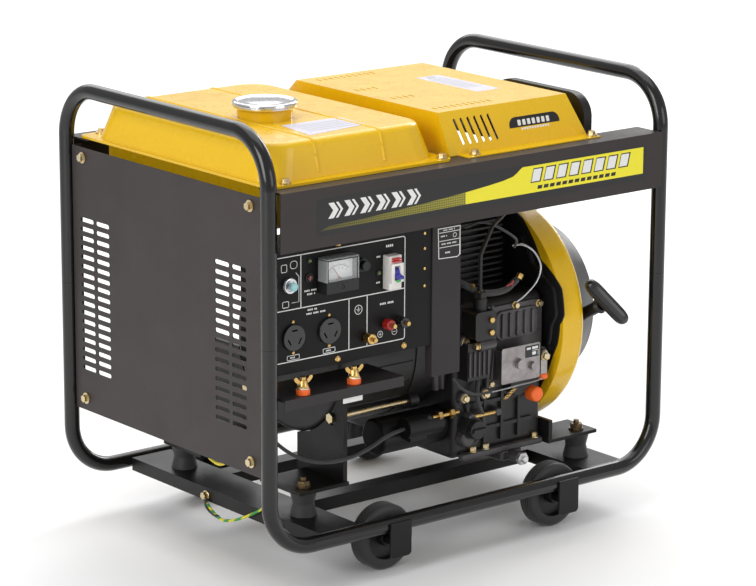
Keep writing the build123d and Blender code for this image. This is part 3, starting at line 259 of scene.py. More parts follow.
def casting(name, colour, roughness=0.5, metallic=0.0, grain=0.0006):
    """Sand or die cast metal: pebbled skin, random darker and lighter patches, rubbed edges."""
    surface = Surface(name, Metallic=metallic, Specular_IOR_Level=0.4)
    pebble = surface.noise(620.0, 4.0, 0.65)
    drift = surface.noise(14.0, 5.0, 0.6)
    base = surface.blend(drift, shade(colour, 0.72), shade(colour, 1.3))
    surface.colour(surface.mix(surface.multiply(surface.edges(0.0016), 0.45), base, shade(colour, 2.6)))
    surface.roughness(pebble, roughness, 0.8, 1.25)
    surface.bump(pebble, grain, 0.5)
    return surface.material


def plated(name, colour, roughness=0.25, tint=None, turned=None):
    """Plated or turned metal with fine scratches and a slight tint drift."""
    surface = Surface(name, Metallic=1.0)
    drift = surface.noise(60.0, 4.0, 0.6)
    other = tint if tint else shade(colour, 0.8)
    surface.colour(surface.blend(drift, colour, other, 0.35, 0.65))
    scratch = surface.noise(300.0, 3.0, 0.6, turned or (1.0, 1.0, 14.0))
    surface.roughness(scratch, roughness, 0.6, 1.6)
    surface.bump(scratch, 0.00003, 0.3)
    return surface.material


def moulded(name, colour, roughness=0.38, grain=0.0002, coat=0.0):
    """Moulded plastic with a fine spark-eroded texture."""
    surface = Surface(name, Coat_Weight=coat, Coat_Roughness=0.12, IOR=1.46)
    drift = surface.noise(20.0, 4.0, 0.6)
    surface.colour(surface.blend(drift, shade(colour, 0.88), shade(colour, 1.12)))
    surface.roughness(drift, roughness, 0.85, 1.2)
    surface.bump(surface.noise(1800.0, 2.0, 0.5), grain, 0.35)
    return surface.material


def rubber(name, colour=(0.016, 0.016, 0.017), roughness=0.62):
    """Vulcanised rubber with a dusty bloom and a fine pebble."""
    surface = Surface(name, Sheen_Weight=0.25, Sheen_Roughness=0.5)
    bloom = surface.noise(30.0, 5.0, 0.7)
    surface.colour(surface.blend(bloom, colour, shade(colour, 2.2), 0.4, 0.8))
    surface.roughness(bloom, roughness, 0.85, 1.15)
    surface.bump(surface.noise(900.0, 3.0, 0.6), 0.0003, 0.4)
    return surface.material


def windings(name):
    """Varnished copper coils: fine parallel strands."""
    surface = Surface(name, Coat_Weight=0.5, Coat_Roughness=0.15)
    wave = surface.node("ShaderNodeTexWave", wave_type="BANDS", bands_direction="X")
    wave.inputs["Scale"].default_value = 120.0
    wave.inputs["Distortion"].default_value = 1.5
    surface.link(surface.position, wave.inputs["Vector"])
    surface.colour(surface.mix(wave.outputs["Fac"], (0.10, 0.03, 0.012), (0.42, 0.16, 0.05)))
    surface.bump(wave.outputs["Fac"], 0.0006, 0.6)
    return surface.material


def clear_glass(name):
    surface = Surface(name, Roughness=0.03, IOR=1.49, Alpha=0.16)
    tint = surface.noise(40.0, 2.0, 0.5)
    surface.colour(surface.mix(tint, (0.93, 0.95, 0.95), (0.98, 0.99, 0.99)))
    return surface.material


YELLOW = (0.77, 0.47, 0.005)
CHARCOAL = (0.036, 0.029, 0.028)

def panel_powder(name):
    """Near-black powder on the control box, with a greyer post at its right."""
    surface = Surface(name, Coat_Weight=0.0, Coat_Roughness=0.3, Specular_IOR_Level=0.16)
    split = surface.node("ShaderNodeSeparateXYZ")
    surface.link(surface.position, split.inputs["Vector"])
    side = surface.ramp(split.outputs["X"], 0.0, 1.0, -0.0645, -0.0640)
    drift = surface.noise(6.0, 4.0, 0.6)
    dark = surface.blend(drift, (0.006, 0.0054, 0.0056), (0.009, 0.0082, 0.0085))
    grey = surface.blend(drift, (0.030, 0.027, 0.028), (0.038, 0.034, 0.035))
    surface.colour(surface.mix(side, dark, grey))
    surface.roughness(surface.noise(16.0, 5.0, 0.6), 1.0, 0.34, 0.48)
    surface.bump(surface.noise(1500.0, 2.0, 0.6), 0.00015, 0.4)
    return surface.material


MATERIALS = {
    "black_tube": gloss_paint("black_tube_paint", (0.006, 0.0055, 0.0055), 0.18, 0.35, 0.12,
                              (0.12, 0.1, 0.09)),
    "charcoal_sheet": satin_powder("charcoal_powder", CHARCOAL),
    "black_sheet": satin_powder("black_powder", (0.007, 0.0065, 0.0065), 0.38),
    "yellow_paint": gloss_paint("yellow_enamel", YELLOW, 0.26, 0.3, 0.02, (0.5, 0.3, 0.02)),
    "zinc_bolt": plated("yellow_zinc", (0.62, 0.56, 0.40), 0.28, (0.66, 0.48, 0.22)),
    "chrome_cap": plated("chrome_plate", (0.82, 0.82, 0.84), 0.12, (0.75, 0.75, 0.78)),
    "black_rubber": rubber("mount_rubber"),
    "wheel_rubber": rubber("wheel_rubber_skin", (0.008, 0.008, 0.0085), 0.5),
    "cast_black": casting("painted_casting", (0.013, 0.012, 0.012), 0.38),
    "cast_alloy": casting("alloy_casting", (0.20, 0.19, 0.19), 0.45, 0.7),
    "shaft_steel": plated("ground_steel", (0.45, 0.45, 0.46), 0.3),
    "copper_wound": windings("copper_windings"),
    "bright_plate": plated("zinc_plate", (0.72, 0.72, 0.72), 0.32),
    "black_plastic": moulded("black_moulding", (0.007, 0.007, 0.0075)),
    "gloss_black_plastic": moulded("gloss_black_moulding", (0.012, 0.012, 0.013), 0.25, 0.0001, 0.4),
    "white_plastic": moulded("white_moulding", (0.72, 0.70, 0.66), 0.35),
    "blue_plastic": moulded("blue_moulding", (0.03, 0.03, 0.32), 0.3, 0.0001, 0.3),
    "orange_plastic": moulded("orange_moulding", (0.82, 0.13, 0.015), 0.4),
    "red_plastic": moulded("red_moulding", (0.30, 0.012, 0.012), 0.3, 0.0001, 0.3),
    "brass": plated("turned_brass", (0.72, 0.50, 0.19), 0.25, (0.60, 0.38, 0.13)),
    "clear_glass": clear_glass("meter_glass"),
    "steel_key": plated("key_chrome", (0.74, 0.75, 0.77), 0.16),
}


NODE_FINISH = {
    "control_panel": panel_powder("panel_powder"),
    "weld_shelf": satin_powder("shelf_powder", (0.028, 0.025, 0.025), 0.4),
    "mount_bolts": plated("blackened_steel", (0.05, 0.045, 0.04), 0.35, (0.20, 0.14, 0.07)),
    "speed_plate": plated("brushed_steel", (0.36, 0.335, 0.335), 0.36, (0.26, 0.24, 0.235)),
    "speed_lever": plated("zinc_lever", (0.40, 0.38, 0.36), 0.34),
    "key_rotor": plated("key_blade_steel", (0.60, 0.66, 0.68), 0.25),
}


def dress_nodes():
    for entry in frame["record"]["subparts"]:
        node = frame["nodes"][entry["node"]]
        material = NODE_FINISH.get(entry["node"], MATERIALS[entry["material_slot"]])
        node.data.materials.clear()
        node.data.materials.append(material)


dress_nodes()

# ---------------------------------------------------------------- mesh tools (millimetres in, metres out)
FRONT = ((1, 0, 0), (0, 0, 1))      # an outline seen from the front grows towards -Y
TOP = ((1, 0, 0), (0, 1, 0))
BACK = ((-1, 0, 0), (0, 0, 1))
OUT = (0, -1, 0)                    # out of the front


def quads(rows, sides, close_rows=False, close_sides=True):
    """Faces between neighbouring rows of points."""
    faces = []
    for row in range(rows if close_rows else rows - 1):
        after = (row + 1) % rows
        for i in range(sides if close_sides else sides - 1):
            j = (i + 1) % sides
            faces.append((row * sides + i, row * sides + j, after * sides + j, after * sides + i))
    return faces


def caps(rows, sides):
    """Faces that close the first and the last row of points."""
    return [tuple(range(sides - 1, -1, -1)), tuple(range((rows - 1) * sides, rows * sides))]


class Kit:
    """Collects small shapes that share one material and one body into a single piece."""

    def __init__(self, name, finish, body="root", sharp=32.0, bevel=0.0):
        """A finish is a slot of MATERIALS, or another material with the slot it belongs to."""
        self.material, self.slot = (MATERIALS[finish], finish) if isinstance(finish, str) else finish
        self.name, self.body, self.sharp, self.bevel = name, body, sharp, bevel
        self.verts, self.faces = [], []

    def add(self, verts, faces):
        start = len(self.verts)
        self.verts += [Vector(v) for v in verts]
        self.faces += [tuple(start + i for i in face) for face in faces]
        return self

    def prism(self, outline, origin, depth, plane=FRONT, shrink=0.0):
        """An outline (counter-clockwise seen from outside) grown out of its plane."""
        u, w = Vector(plane[0]), Vector(plane[1])
        out = u.cross(w)
        origin = Vector(origin)
        count = len(outline)
        centre = sum((Vector(p) for p in outline), Vector((0, 0))) / count
        low = [origin + u * a + w * b for a, b in outline]
        high = []
        for a, b in outline:
            pulled = Vector((a, b)) + (centre - Vector((a, b))).normalized() * shrink
            high.append(origin + u * pulled.x + w * pulled.y + out * depth)
        return self.add(low + high, quads(2, count) + caps(2, count))

    def band(self, points, width, origin, depth, plane=FRONT, closed=True):
        """A flat printed or pressed line that follows the points."""
        u, w = Vector(plane[0]), Vector(plane[1])
        out = u.cross(w)
        origin = Vector(origin)
        flat = [Vector(p) for p in points]
        count = len(flat)
        left, right = [], []
        for i, point in enumerate(flat):
            before = flat[i - 1] if closed or i > 0 else point
            after = flat[(i + 1) % count] if closed or i < count - 1 else point
            along = (after - before).normalized()
            across = Vector((-along.y, along.x))
            first = (point - before).normalized() if before != point else along
            lean = max(0.5, abs(Vector((-first.y, first.x)).dot(across)))
            left.append(point + across * width / 2 / lean)
            right.append(point - across * width / 2 / lean)
        rings = []
        for side, lift in ((left, 0.0), (left, depth), (right, depth), (right, 0.0)):
            rings.append([origin + u * p.x + w * p.y + out * lift for p in side])
        verts = [v for ring in rings for v in ring]
        faces = []
        for i in range(count if closed else count - 1):
            j = (i + 1) % count
            for a in range(4):
                b = (a + 1) % 4
                faces.append((a * count + i, a * count + j, b * count + j, b * count + i))
        if not closed:
            faces += [(0, count, 2 * count, 3 * count)]
            faces += [(count - 1, 4 * count - 1, 3 * count - 1, 2 * count - 1)]
        return self.add(verts, faces)

    def lathe(self, origin, axis, profile, sides=40, turn=0.0, hollow=False):
        """Turned shape. The profile is (radius, distance along the axis); a hollow one closes on itself."""
        spin = Vector(axis).to_track_quat("Z", "Y")
        origin = Vector(origin)
        verts = []
        for radius, along in profile:
            for i in range(sides):
                angle = 2 * math.pi * i / sides + turn
                local = Vector((radius * math.cos(angle), radius * math.sin(angle), along))
                verts.append(origin + spin @ local)
        rows = len(profile)
        ends = [] if hollow else caps(rows, sides)
        return self.add(verts, quads(rows, sides, close_rows=hollow) + ends)

    def ring(self, origin, axis, profile, sides=48):
        return self.lathe(origin, axis, profile, sides, hollow=True)

    def sweep(self, points, radius, sides=14, steps=6):
        """A round bar along a smooth line through the points."""
        line = smooth_line(points, steps)
        count = len(line)
        tangents = []
        for i in range(count):
            tangents.append((line[min(i + 1, count - 1)] - line[max(i - 1, 0)]).normalized())
        normal = tangents[0].orthogonal().normalized()
        verts = []
        for i, point in enumerate(line):
            normal = (normal - tangents[i] * normal.dot(tangents[i])).normalized()
            other = tangents[i].cross(normal)
            for k in range(sides):
                angle = 2 * math.pi * k / sides
                verts.append(point + (normal * math.cos(angle) + other * math.sin(angle)) * radius)
        return self.add(verts, quads(count, sides) + caps(count, sides))

    def box(self, low, high, chamfer=1.0):
        """A block with chamfered edges all round."""
        x0, y0, z0 = low
        x1, y1, z1 = high
        c = min(chamfer, (x1 - x0) / 2.5, (y1 - y0) / 2.5, (z1 - z0) / 2.5)

        def loop(z, inset):
            a, b, d, e = x0 + inset, x1 - inset, y0 + inset, y1 - inset
            return [(a + c, d, z), (b - c, d, z), (b, d + c, z), (b, e - c, z),
                    (b - c, e, z), (a + c, e, z), (a, e - c, z), (a, d + c, z)]

        verts = loop(z0, c) + loop(z0 + c, 0) + loop(z1 - c, 0) + loop(z1, c)
        return self.add(verts, caps(4, 8) + quads(4, 8))

    def hexagon(self, origin, axis, across, height, turn=0.0):
        """A hexagon head with its corners turned off."""
        corner = across / math.sqrt(3)
        inner = corner * 0.86
        return self.lathe(origin, axis, [(corner, 0.0), (corner, height * 0.82), (inner, height)], 6, turn)

    def washer(self, origin, axis, radius, height=1.4):
        return self.lathe(origin, axis, [(radius, 0.0), (radius, height * 0.7), (radius - 0.5, height)], 28)

    def bolt(self, origin, axis, across=10.0, height=5.5, turn=0.3):
        axis = Vector(axis).normalized()
        self.washer(origin, axis, across * 0.72)
        return self.hexagon(Vector(origin) + axis * 1.3, axis, across, height, turn)

    def done(self):
        mesh = bpy.data.meshes.new(self.name)
        mesh.from_pydata([tuple(v * 0.001) for v in self.verts], [], self.faces)
        mesh.validate()
        work = bmesh.new()
        work.from_mesh(mesh)
        bmesh.ops.recalc_face_normals(work, faces=work.faces)
        work.to_mesh(mesh)
        work.free()
        mesh.shade_smooth()
        mesh.set_sharp_from_angle(angle=math.radians(self.sharp))
        mesh.materials.append(self.material)
        piece = bpy.data.objects.new(self.name, mesh)
        bpy.context.scene.collection.objects.link(piece)
        if self.bevel:
            modifier = piece.modifiers.new("soft_edges", "BEVEL")
            modifier.width = self.bevel * 0.001
            modifier.segments = 2
            modifier.limit_method = "ANGLE"
            modifier.angle_limit = math.radians(40)
        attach(piece, self.body)
        return piece


def box_mm(node):
    """Bounds of a CAD node, in millimetres: x0, x1, y0, y1, z0, z1."""
    low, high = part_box(node)
    return [corner[i] * 1000 for i in range(3) for corner in (low, high)]


def smooth_line(points, steps):
    """Catmull-Rom line through the points."""
    points = [Vector(p) for p in points]
    if len(points) < 3 or steps < 2:
        return points
    ends = [points[0] * 2 - points[1]] + points + [points[-1] * 2 - points[-2]]
    line = []
    for i in range(1, len(ends) - 2):
        a, b, c, d = ends[i - 1:i + 3]
        for k in range(steps):
            t = k / steps
            line.append(0.5 * (2 * b + (c - a) * t + (2 * a - 5 * b + 4 * c - d) * t * t
                               + (3 * b - a - 3 * c + d) * t ** 3))
    line.append(points[-1])
    return line


def rounded(x0, y0, x1, y1, radius, steps=5):
    """Rounded rectangle, counter-clockwise."""
    outline = []
    for cx, cy, start in ((x1 - radius, y0 + radius, -90), (x1 - radius, y1 - radius, 0),
                          (x0 + radius, y1 - radius, 90), (x0 + radius, y0 + radius, 180)):
        for i in range(steps + 1):
            angle = math.radians(start + 90 * i / steps)
            outline.append((cx + radius * math.cos(angle), cy + radius * math.sin(angle)))
    return outline


def circle(cx, cy, radius, count=28):
    return [(cx + radius * math.cos(2 * math.pi * i / count), cy + radius * math.sin(2 * math.pi * i / count))
            for i in range(count)]


def slanted(x, z, width, height, lean=0.25):
    """Parallelogram leaning to the right."""
    shift = height * lean
    return [(x, z), (x + width, z), (x + width + shift, z + height), (x + shift, z + height)]


def digits(name, text, origin, size, finish):
    """Plain numbers as flat mesh, facing the front."""
    material, slot = finish
    curve = bpy.data.curves.new(name, "FONT")
    curve.body = text
    curve.size = size * 0.001
    curve.align_x = "CENTER"
    curve.align_y = "CENTER"
    curve.extrude = 0.00005
    made = bpy.data.objects.new(name, curve)
    bpy.context.scene.collection.objects.link(made)
    bpy.context.view_layer.update()
    mesh = bpy.data.meshes.new_from_object(made)
    bpy.data.objects.remove(made)
    mesh.transform(Matrix.Translation(Vector(origin) * 0.001) @ Matrix.Rotation(math.pi / 2, 4, "X"))
    mesh.materials.clear()
    mesh.materials.append(material)
    piece = bpy.data.objects.new(name, mesh)
    bpy.context.scene.collection.objects.link(piece)
    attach(piece, "root")


# ---------------------------------------------------------------- printed and painted finishes
def ink(name, colour, roughness=0.45):
    surface = Surface(name)
    grain = surface.noise(700.0, 3.0, 0.6)
    surface.colour(surface.blend(grain, shade(colour, 0.85), colour, 0.3, 0.8))
    surface.roughness(grain, roughness, 0.8, 1.2, 0.0, 1.0)
    return surface.material


def fading_dots(name, colour, dark, x_start, x_end, pitch):
    """Printed screen of bars and dots that grows brighter from left to right."""
    surface = Surface(name, Roughness=0.4)
    split = surface.node("ShaderNodeSeparateXYZ")
    surface.link(surface.position, split.inputs["Vector"])
    fade = surface.ramp(split.outputs["X"], 0.12, 0.62, x_start, x_end)
    bars = []
    for direction in ("X", "Z"):
        wave = surface.node("ShaderNodeTexWave", wave_type="BANDS", bands_direction=direction)
        wave.inputs["Scale"].default_value = 1.0 / pitch / 6.3
        surface.link(surface.position, wave.inputs["Vector"])
        bars.append(surface.ramp(wave.outputs["Fac"], 0.45, 1.0))
    grid = surface.multiply(*bars)
    surface.colour(surface.mix(surface.multiply(fade, grid), dark, colour))
    return surface.material


def clear_plastic(name):
    surface = Surface(name, Roughness=0.12, IOR=1.46, Alpha=0.34)
    haze = surface.noise(60.0, 3.0, 0.5)
    surface.colour(surface.mix(haze, (0.62, 0.64, 0.64), (0.80, 0.82, 0.82)))
    return surface.material


def striped_wire(name, first, second):
    """Insulation with slanting stripes of a second colour."""
    surface = Surface(name, Roughness=0.4)
    wave = surface.node("ShaderNodeTexWave", wave_type="BANDS", bands_direction="DIAGONAL")
    wave.inputs["Scale"].default_value = 34.0
    surface.link(surface.position, wave.inputs["Vector"])
    surface.colour(surface.blend(wave.outputs["Fac"], first, second, 0.45, 0.55))
    return surface.material


# Each finish is a material and the slot it belongs to.
WHITE_INK = (ink("white_ink", (0.82, 0.82, 0.80)), "white_plastic")
GREY_INK = (ink("grey_ink", (0.42, 0.42, 0.42)), "black_plastic")
BLACK_INK = (ink("black_ink", (0.006, 0.006, 0.006), 0.3), "black_plastic")
YELLOW_INK = (ink("yellow_ink", (0.90, 0.80, 0.02), 0.35), "yellow_paint")
PALE_STICKER = (ink("pale_sticker", (0.62, 0.60, 0.72), 0.35), "white_plastic")
RED_INK = (ink("red_ink", (0.6, 0.02, 0.02)), "red_plastic")
GREEN_INK = (ink("green_ink", (0.03, 0.42, 0.08)), "black_plastic")
DIAL_WHITE = (ink("dial_white", (0.86, 0.89, 0.88), 0.35), "white_plastic")
DOTTED_INK = (fading_dots("dotted_ink", (0.75, 0.68, 0.04), (0.006, 0.006, 0.005), -0.28, -0.03, 0.0016),
              "yellow_paint")
CLEAR_HOOD = (clear_plastic("meter_hood_clear"), "clear_glass")
GREEN_LENS = (moulded("green_lens", (0.10, 0.16, 0.05), 0.15, 0.0, 0.8), "black_plastic")
RED_LENS = (moulded("dark_red_lens", (0.09, 0.006, 0.006), 0.12, 0.0, 0.9), "red_plastic")
KEY_BLUE = (moulded("key_blue", (0.30, 0.60, 0.62), 0.35), "blue_plastic")
GUIDE_BLACK = (satin_powder("guide_black", (0.010, 0.0095, 0.0105), 0.30), "black_sheet")
CASE_GREY = (casting("engine_case_grey", (0.060, 0.056, 0.058), 0.30, 0.35, 0.0004), "cast_black")
EARTH_WIRE = (striped_wire("earth_wire_insulation", (0.72, 0.62, 0.02), (0.03, 0.30, 0.05)), "yellow_paint")
EARTH_YELLOW = (striped_wire("yellow_insulation", (0.78, 0.62, 0.02), (0.66, 0.52, 0.02)), "yellow_paint")

# Outer faces of the front beam's label, the control panel and its post.
BAND_Y = -248.5
PANEL_Y = -223.0
POST_Y = -225.0
PRINT = 0.12                   # thickness of a printed line
OUTLETS_X = (-300.6, -240.6)
LAMPS = ((-274, 459), (-157, 425))
OIL_LAMP = (-274.5, PANEL_Y, 436)
COVER_ROOF_Z = 620.0


def front_label():
    """The long label on the front beam: black ground, yellow sweep, plain blocks where lettering would be."""
    Kit("label_ground", BLACK_INK).prism(rounded(-281, 496, 309, 546, 1.5, 2), (0, BAND_Y, 0), 0.08).done()
    dotted = Kit("label_screen", DOTTED_INK)
    dotted.prism([(-276, 503), (-26, 505.5), (-26, 522), (-60, 519.5), (-107, 516), (-190, 511), (-262, 508)],
                 (0, BAND_Y - 0.08, 0), 0.05)
    dotted.done()
    sweep = Kit("label_sweep", YELLOW_INK)
    sweep.prism([(-26.5, 505.5), (303, 505.5), (303, 543.5), (76, 543.5), (72, 541.5), (66, 537), (58, 532.5),
                 (40, 529), (15, 526), (-26.5, 522)], (0, BAND_Y - 0.08, 0), 0.06)
    sweep.done()
    marks = Kit("label_marks", WHITE_INK)
    shadow = Kit("label_mark_edges", BLACK_INK)
    for i in range(6):
        left = -262 + i * 26.5
        for start, width in ((left, 9), (left + 12.5, 4)):
            chevron = [(start, 518), (start + width, 518), (start + width + 8, 528.5),
                       (start + width, 539), (start, 539), (start + 8, 528.5)]
            marks.prism(chevron, (0, BAND_Y - 0.1, 0), 0.06)
    for i in range(8):
        left = 92 + i * 23.5
        shadow.prism(slanted(left - 1.6, 519.4, 18.6, 20.2), (0, BAND_Y - 0.13, 0), 0.05)
        marks.prism(slanted(left, 521, 15, 17), (0, BAND_Y - 0.17, 0), 0.05)
    for i in range(13):
        shadow.prism(slanted(103 + i * 11.5, 509.5, 8.4, 5.0), (0, BAND_Y - 0.13, 0), 0.05)
    marks.done()
    shadow.done()


def panel_print():
    """White frames, symbols and blank caption bars on the control panel."""
    lines = Kit("panel_lines", WHITE_INK)
    at = (0, PANEL_Y, 0)

    def closed(width, outline):
        lines.band(outline, width, at, PRINT)

    def stroke(width, *points):
        lines.band(points, width, at, PRINT, closed=False)

    closed(1.3, rounded(-330, 326.5, -111, 469, 3.5))
    stroke(1.3, (-287.8, 469), (-287.8, 397))
    stroke(1.3, (-330, 397), (-111, 397))
    for x in (-207.0, -176.0):
        stroke(1.3, (x, 397), (x, 326.5))
    earth_x, earth_z = -190.8, 379.3
    closed(0.9, circle(earth_x, earth_z, 6.2))
    for dz, half in ((0.6, 3.4), (-1.2, 2.2), (-3.0, 1.0)):
        stroke(0.7, (earth_x - half, earth_z + dz), (earth_x + half, earth_z + dz))
    stroke(0.7, (earth_x, 379.9), (earth_x, 383.6))
    plus_x, minus_x, sign_z = -153.3, -128.5, 339.2
    for x in (plus_x, minus_x):
        closed(0.7, circle(x, sign_z, 4.3))
        stroke(0.7, (x - 2.6, sign_z), (x + 2.6, sign_z))
    stroke(0.7, (plus_x, 336.6), (plus_x, 341.8))
    for x in OUTLETS_X:
        closed(0.7, rounded(x - 10, 328.4, x + 10, 334.6, 0.6, 1))
        caption(lines, x, 331.5, 12, 2.2, at)
    for x, z, width, height in ((-137.3, 459.5, 15, 3.4), (-140.5, 381, 27, 2.8), (-268.5, 392.2, 17, 2.4),
                                (-262.5, 387.0, 33, 2.4), (-156.5, 447, 7, 2.4), (-157, 411.5, 8, 2.4),
                                (-270.5, 418.5, 23, 2.4), (-270.5, 413.6, 15, 2.4)):
        caption(lines, x, z, width, height, at)
    closed(0.8, rounded(-320, 449, -311, 459, 1, 1))
    closed(0.8, rounded(-305, 452, -294, 462, 4, 3))
    stroke(0.8, (-296, 446), (-291, 440), (-291, 406), (-303, 406))
    closed(0.8, rounded(-318, 401, -308, 409, 1, 1))
    lines.done()


def caption(kit, x, z, width, height, at):
    """A row of short bars where a printed word would be."""
    step = height * 0.95
    count = max(2, int(width / step))
    start = x - step * count / 2
    for i in range(count):
        if i % 5 != 4:
            left, right = start + i * step, start + (i + 0.68) * step
            kit.prism(rounded(left, z - height / 2, right, z + height / 2, 0.25, 1), at, 0.1)


def panel_fittings():
    """Screws, lamps and socket rims on the control panel."""
    brass = Kit("panel_screws", "brass")
    for x, z in ((-226, 474.3), (-226, 316.8), (-112, 316.8)):
        brass.lathe((x, PANEL_Y, z), OUT, [(4.6, 0), (4.6, 0.8), (3.6, 2.2), (1.8, 3.0)], 24)
    for x in (-301, -241):
        for z in (380.0, 338.2):
            brass.lathe((x, PANEL_Y, z), OUT, [(2.5, 0), (2.3, 1.2), (1.2, 1.9)], 16)
    for z in (468, 447, 419, 395):
        brass.lathe((-76.8, PANEL_Y, z), OUT, [(2.2, 0), (2.0, 1.0), (1.0, 1.5)], 16)
    brass.done()
    lens = Kit("green_lamp_lens", GREEN_LENS)
    r = 2.6
    for x, z in LAMPS:
        lens.lathe((x, PANEL_Y, z), OUT, [(r, 0), (r, 1.6), (r * 0.8, 3.0), (r * 0.35, 3.8)], 20)
    lens.done()
    red = Kit("oil_lamp_lens", RED_LENS)
    red.lathe(OIL_LAMP, OUT, [(4.4, 0), (4.4, 2.0), (3.6, 4.2), (1.6, 5.4)], 24)
    red.done()
    bezel = Kit("lamp_bezels", "black_plastic")
    bezel.ring(OIL_LAMP, OUT, [(6.6, 0), (6.2, 2.2), (4.6, 2.2), (4.6, 0)])
    for x, z in LAMPS:
        bezel.ring((x, PANEL_Y, z), OUT, [(4.0, 0), (3.7, 1.2), (2.7, 1.2), (2.7, 0)], 24)
    bezel.done()


def meter_face():
    """White dial with a scale arc and numbers, a clear hood round it and the screw of its black skirt."""
    x0, x1, _, _, z0, z1 = box_mm("voltmeter_lens")
    case_x0, case_x1, front, _, _, case_z1 = box_mm("voltmeter_case")
    back = front + 9.2
    plate = Kit("meter_dial", DIAL_WHITE)
    plate.prism(rounded(x0 + 0.6, z0 + 0.6, x1 - 0.6, z1 - 0.6, 1.5), (0, back + 0.4, 0), 0.4)
    plate.done()
    scale = Kit("meter_scale", BLACK_INK)
    cx, cz = (x0 + x1) / 2, z0 + 2.0
    arc = []
    for i in range(25):
        angle = math.radians(140 - 100 * i / 24)
        arc.append((cx + 21 * math.cos(angle), cz + 17 * math.sin(angle)))
    scale.band(arc, 0.5, (0, back, 0), 0.08, closed=False)
    for i in range(13):
        angle = math.radians(140 - 100 * i / 12)
        size = 3.4 if i % 3 == 0 else 2.0
        inner = (cx + 21 * math.cos(angle), cz + 17 * math.sin(angle))
        outer = (cx + (21 + size) * math.cos(angle), cz + (17 + size) * math.sin(angle))
        scale.band([inner, outer], 0.5, (0, back, 0), 0.08, closed=False)
    scale.done()
    for i, text in enumerate(("0", "1", "2", "3", "4")):
        angle = math.radians(136 - 92 * i / 4)
        place = (cx + 16.5 * math.cos(angle), back - 0.1, cz + 13 * math.sin(angle))
        digits(f"meter_number_{i}", text, place, 3.6, BLACK_INK)
    hood = Kit("meter_hood", CLEAR_HOOD)
    hx0, hx1, hz0, hz1 = case_x0 - 0.5, case_x1 + 0.5, z0 - 1.0, case_z1 + 0.5
    depth = PANEL_Y - front - 1.0
    for box in (((hx0, front - 0.6, hz1 - 2.2), (hx1, front + depth, hz1)),
                ((hx0, front - 0.6, hz0), (hx0 + 2.6, front + depth, hz1 - 2.3)),
                ((hx1 - 2.6, front - 0.6, hz0), (hx1, front + depth, hz1 - 2.3))):
        hood.box(*box, 0.8)
    hood.done()
    screw = Kit("meter_skirt_screw", "black_plastic")
    screw.ring((cx, front, z0 - 9), OUT, [(4.2, 0), (3.8, 0.8), (2.4, 0.8), (2.2, 0)], 24)
    screw.lathe((cx, front, z0 - 9), OUT, [(2.2, 0), (1.6, 0.5)], 16)
    screw.done()


def breaker_print():
    """Coloured marks on the white breaker."""
    x0, x1, y0, _, z0, z1 = box_mm("breaker_body")
    red = Kit("breaker_red_marks", RED_INK)
    for i in range(2):
        mark = rounded(x0 + 4, z1 - 4.4 - i * 3.4, x1 - 4, z1 - 2.6 - i * 3.4, 0.4, 1)
        red.prism(mark, (0, y0 + 9.0, 0), 9.1)
    red.done()
    green = Kit("breaker_green_mark", GREEN_INK)
    green.prism(rounded(x0 + 8, z0 + 10.5, x1 - 5, z0 + 14, 0.4, 1), (0, y0 + 0.01, 0), 0.2)
    green.done()


def key_face():
    """Pale blue face and slot of the key switch, and its bright bezel."""
    x0, x1, front, _, z0, z1 = box_mm("key_rotor")
    x, z = (x0 + x1) / 2, (z0 + z1) / 2
    blue = Kit("key_face_disc", KEY_BLUE, "ignition_key")
    blue.ring((x, front + 1.2, z), OUT, [(5.9, 0), (5.6, 1.5), (1.1, 1.5), (1.1, 0)], 32)
    blue.done()
    ring = Kit("key_bezel_ring", "steel_key")
    face = box_mm("key_switch")[2]
    ring.ring((x, face + 0.4, z), OUT, [(10.6, 0), (10.2, 1.6), (9.0, 2.0), (7.2, 1.6), (6.6, 0)], 40)
    ring.done()


def post_label():
    """White outlined instruction plate on the post, blank apart from ruled lines, bars and a small circle."""
    lines = Kit("post_label_lines", WHITE_INK)
    at = (0, POST_Y, 0)
    lines.band([(-53, 429), (-20, 427.8), (-15.6, 430.5), (-15.6, 470.5), (-54.5, 470.5)], 1.2, at, PRINT)
    for z in (464.6, 453.0, 444.0):
        lines.band([(-54.3, z), (-16, z)], 0.9, at, PRINT, closed=False)
    caption(lines, -35, 467.6, 22, 2.0, at)
    caption(lines, -44, 459.5, 13, 2.0, at)
    caption(lines, -35, 448.6, 28, 2.0, at)
    caption(lines, -36, 436, 12, 2.4, at)
    lines.band(circle(-25, 459, 3.0, 16), 0.7, at, PRINT)
    lines.done()


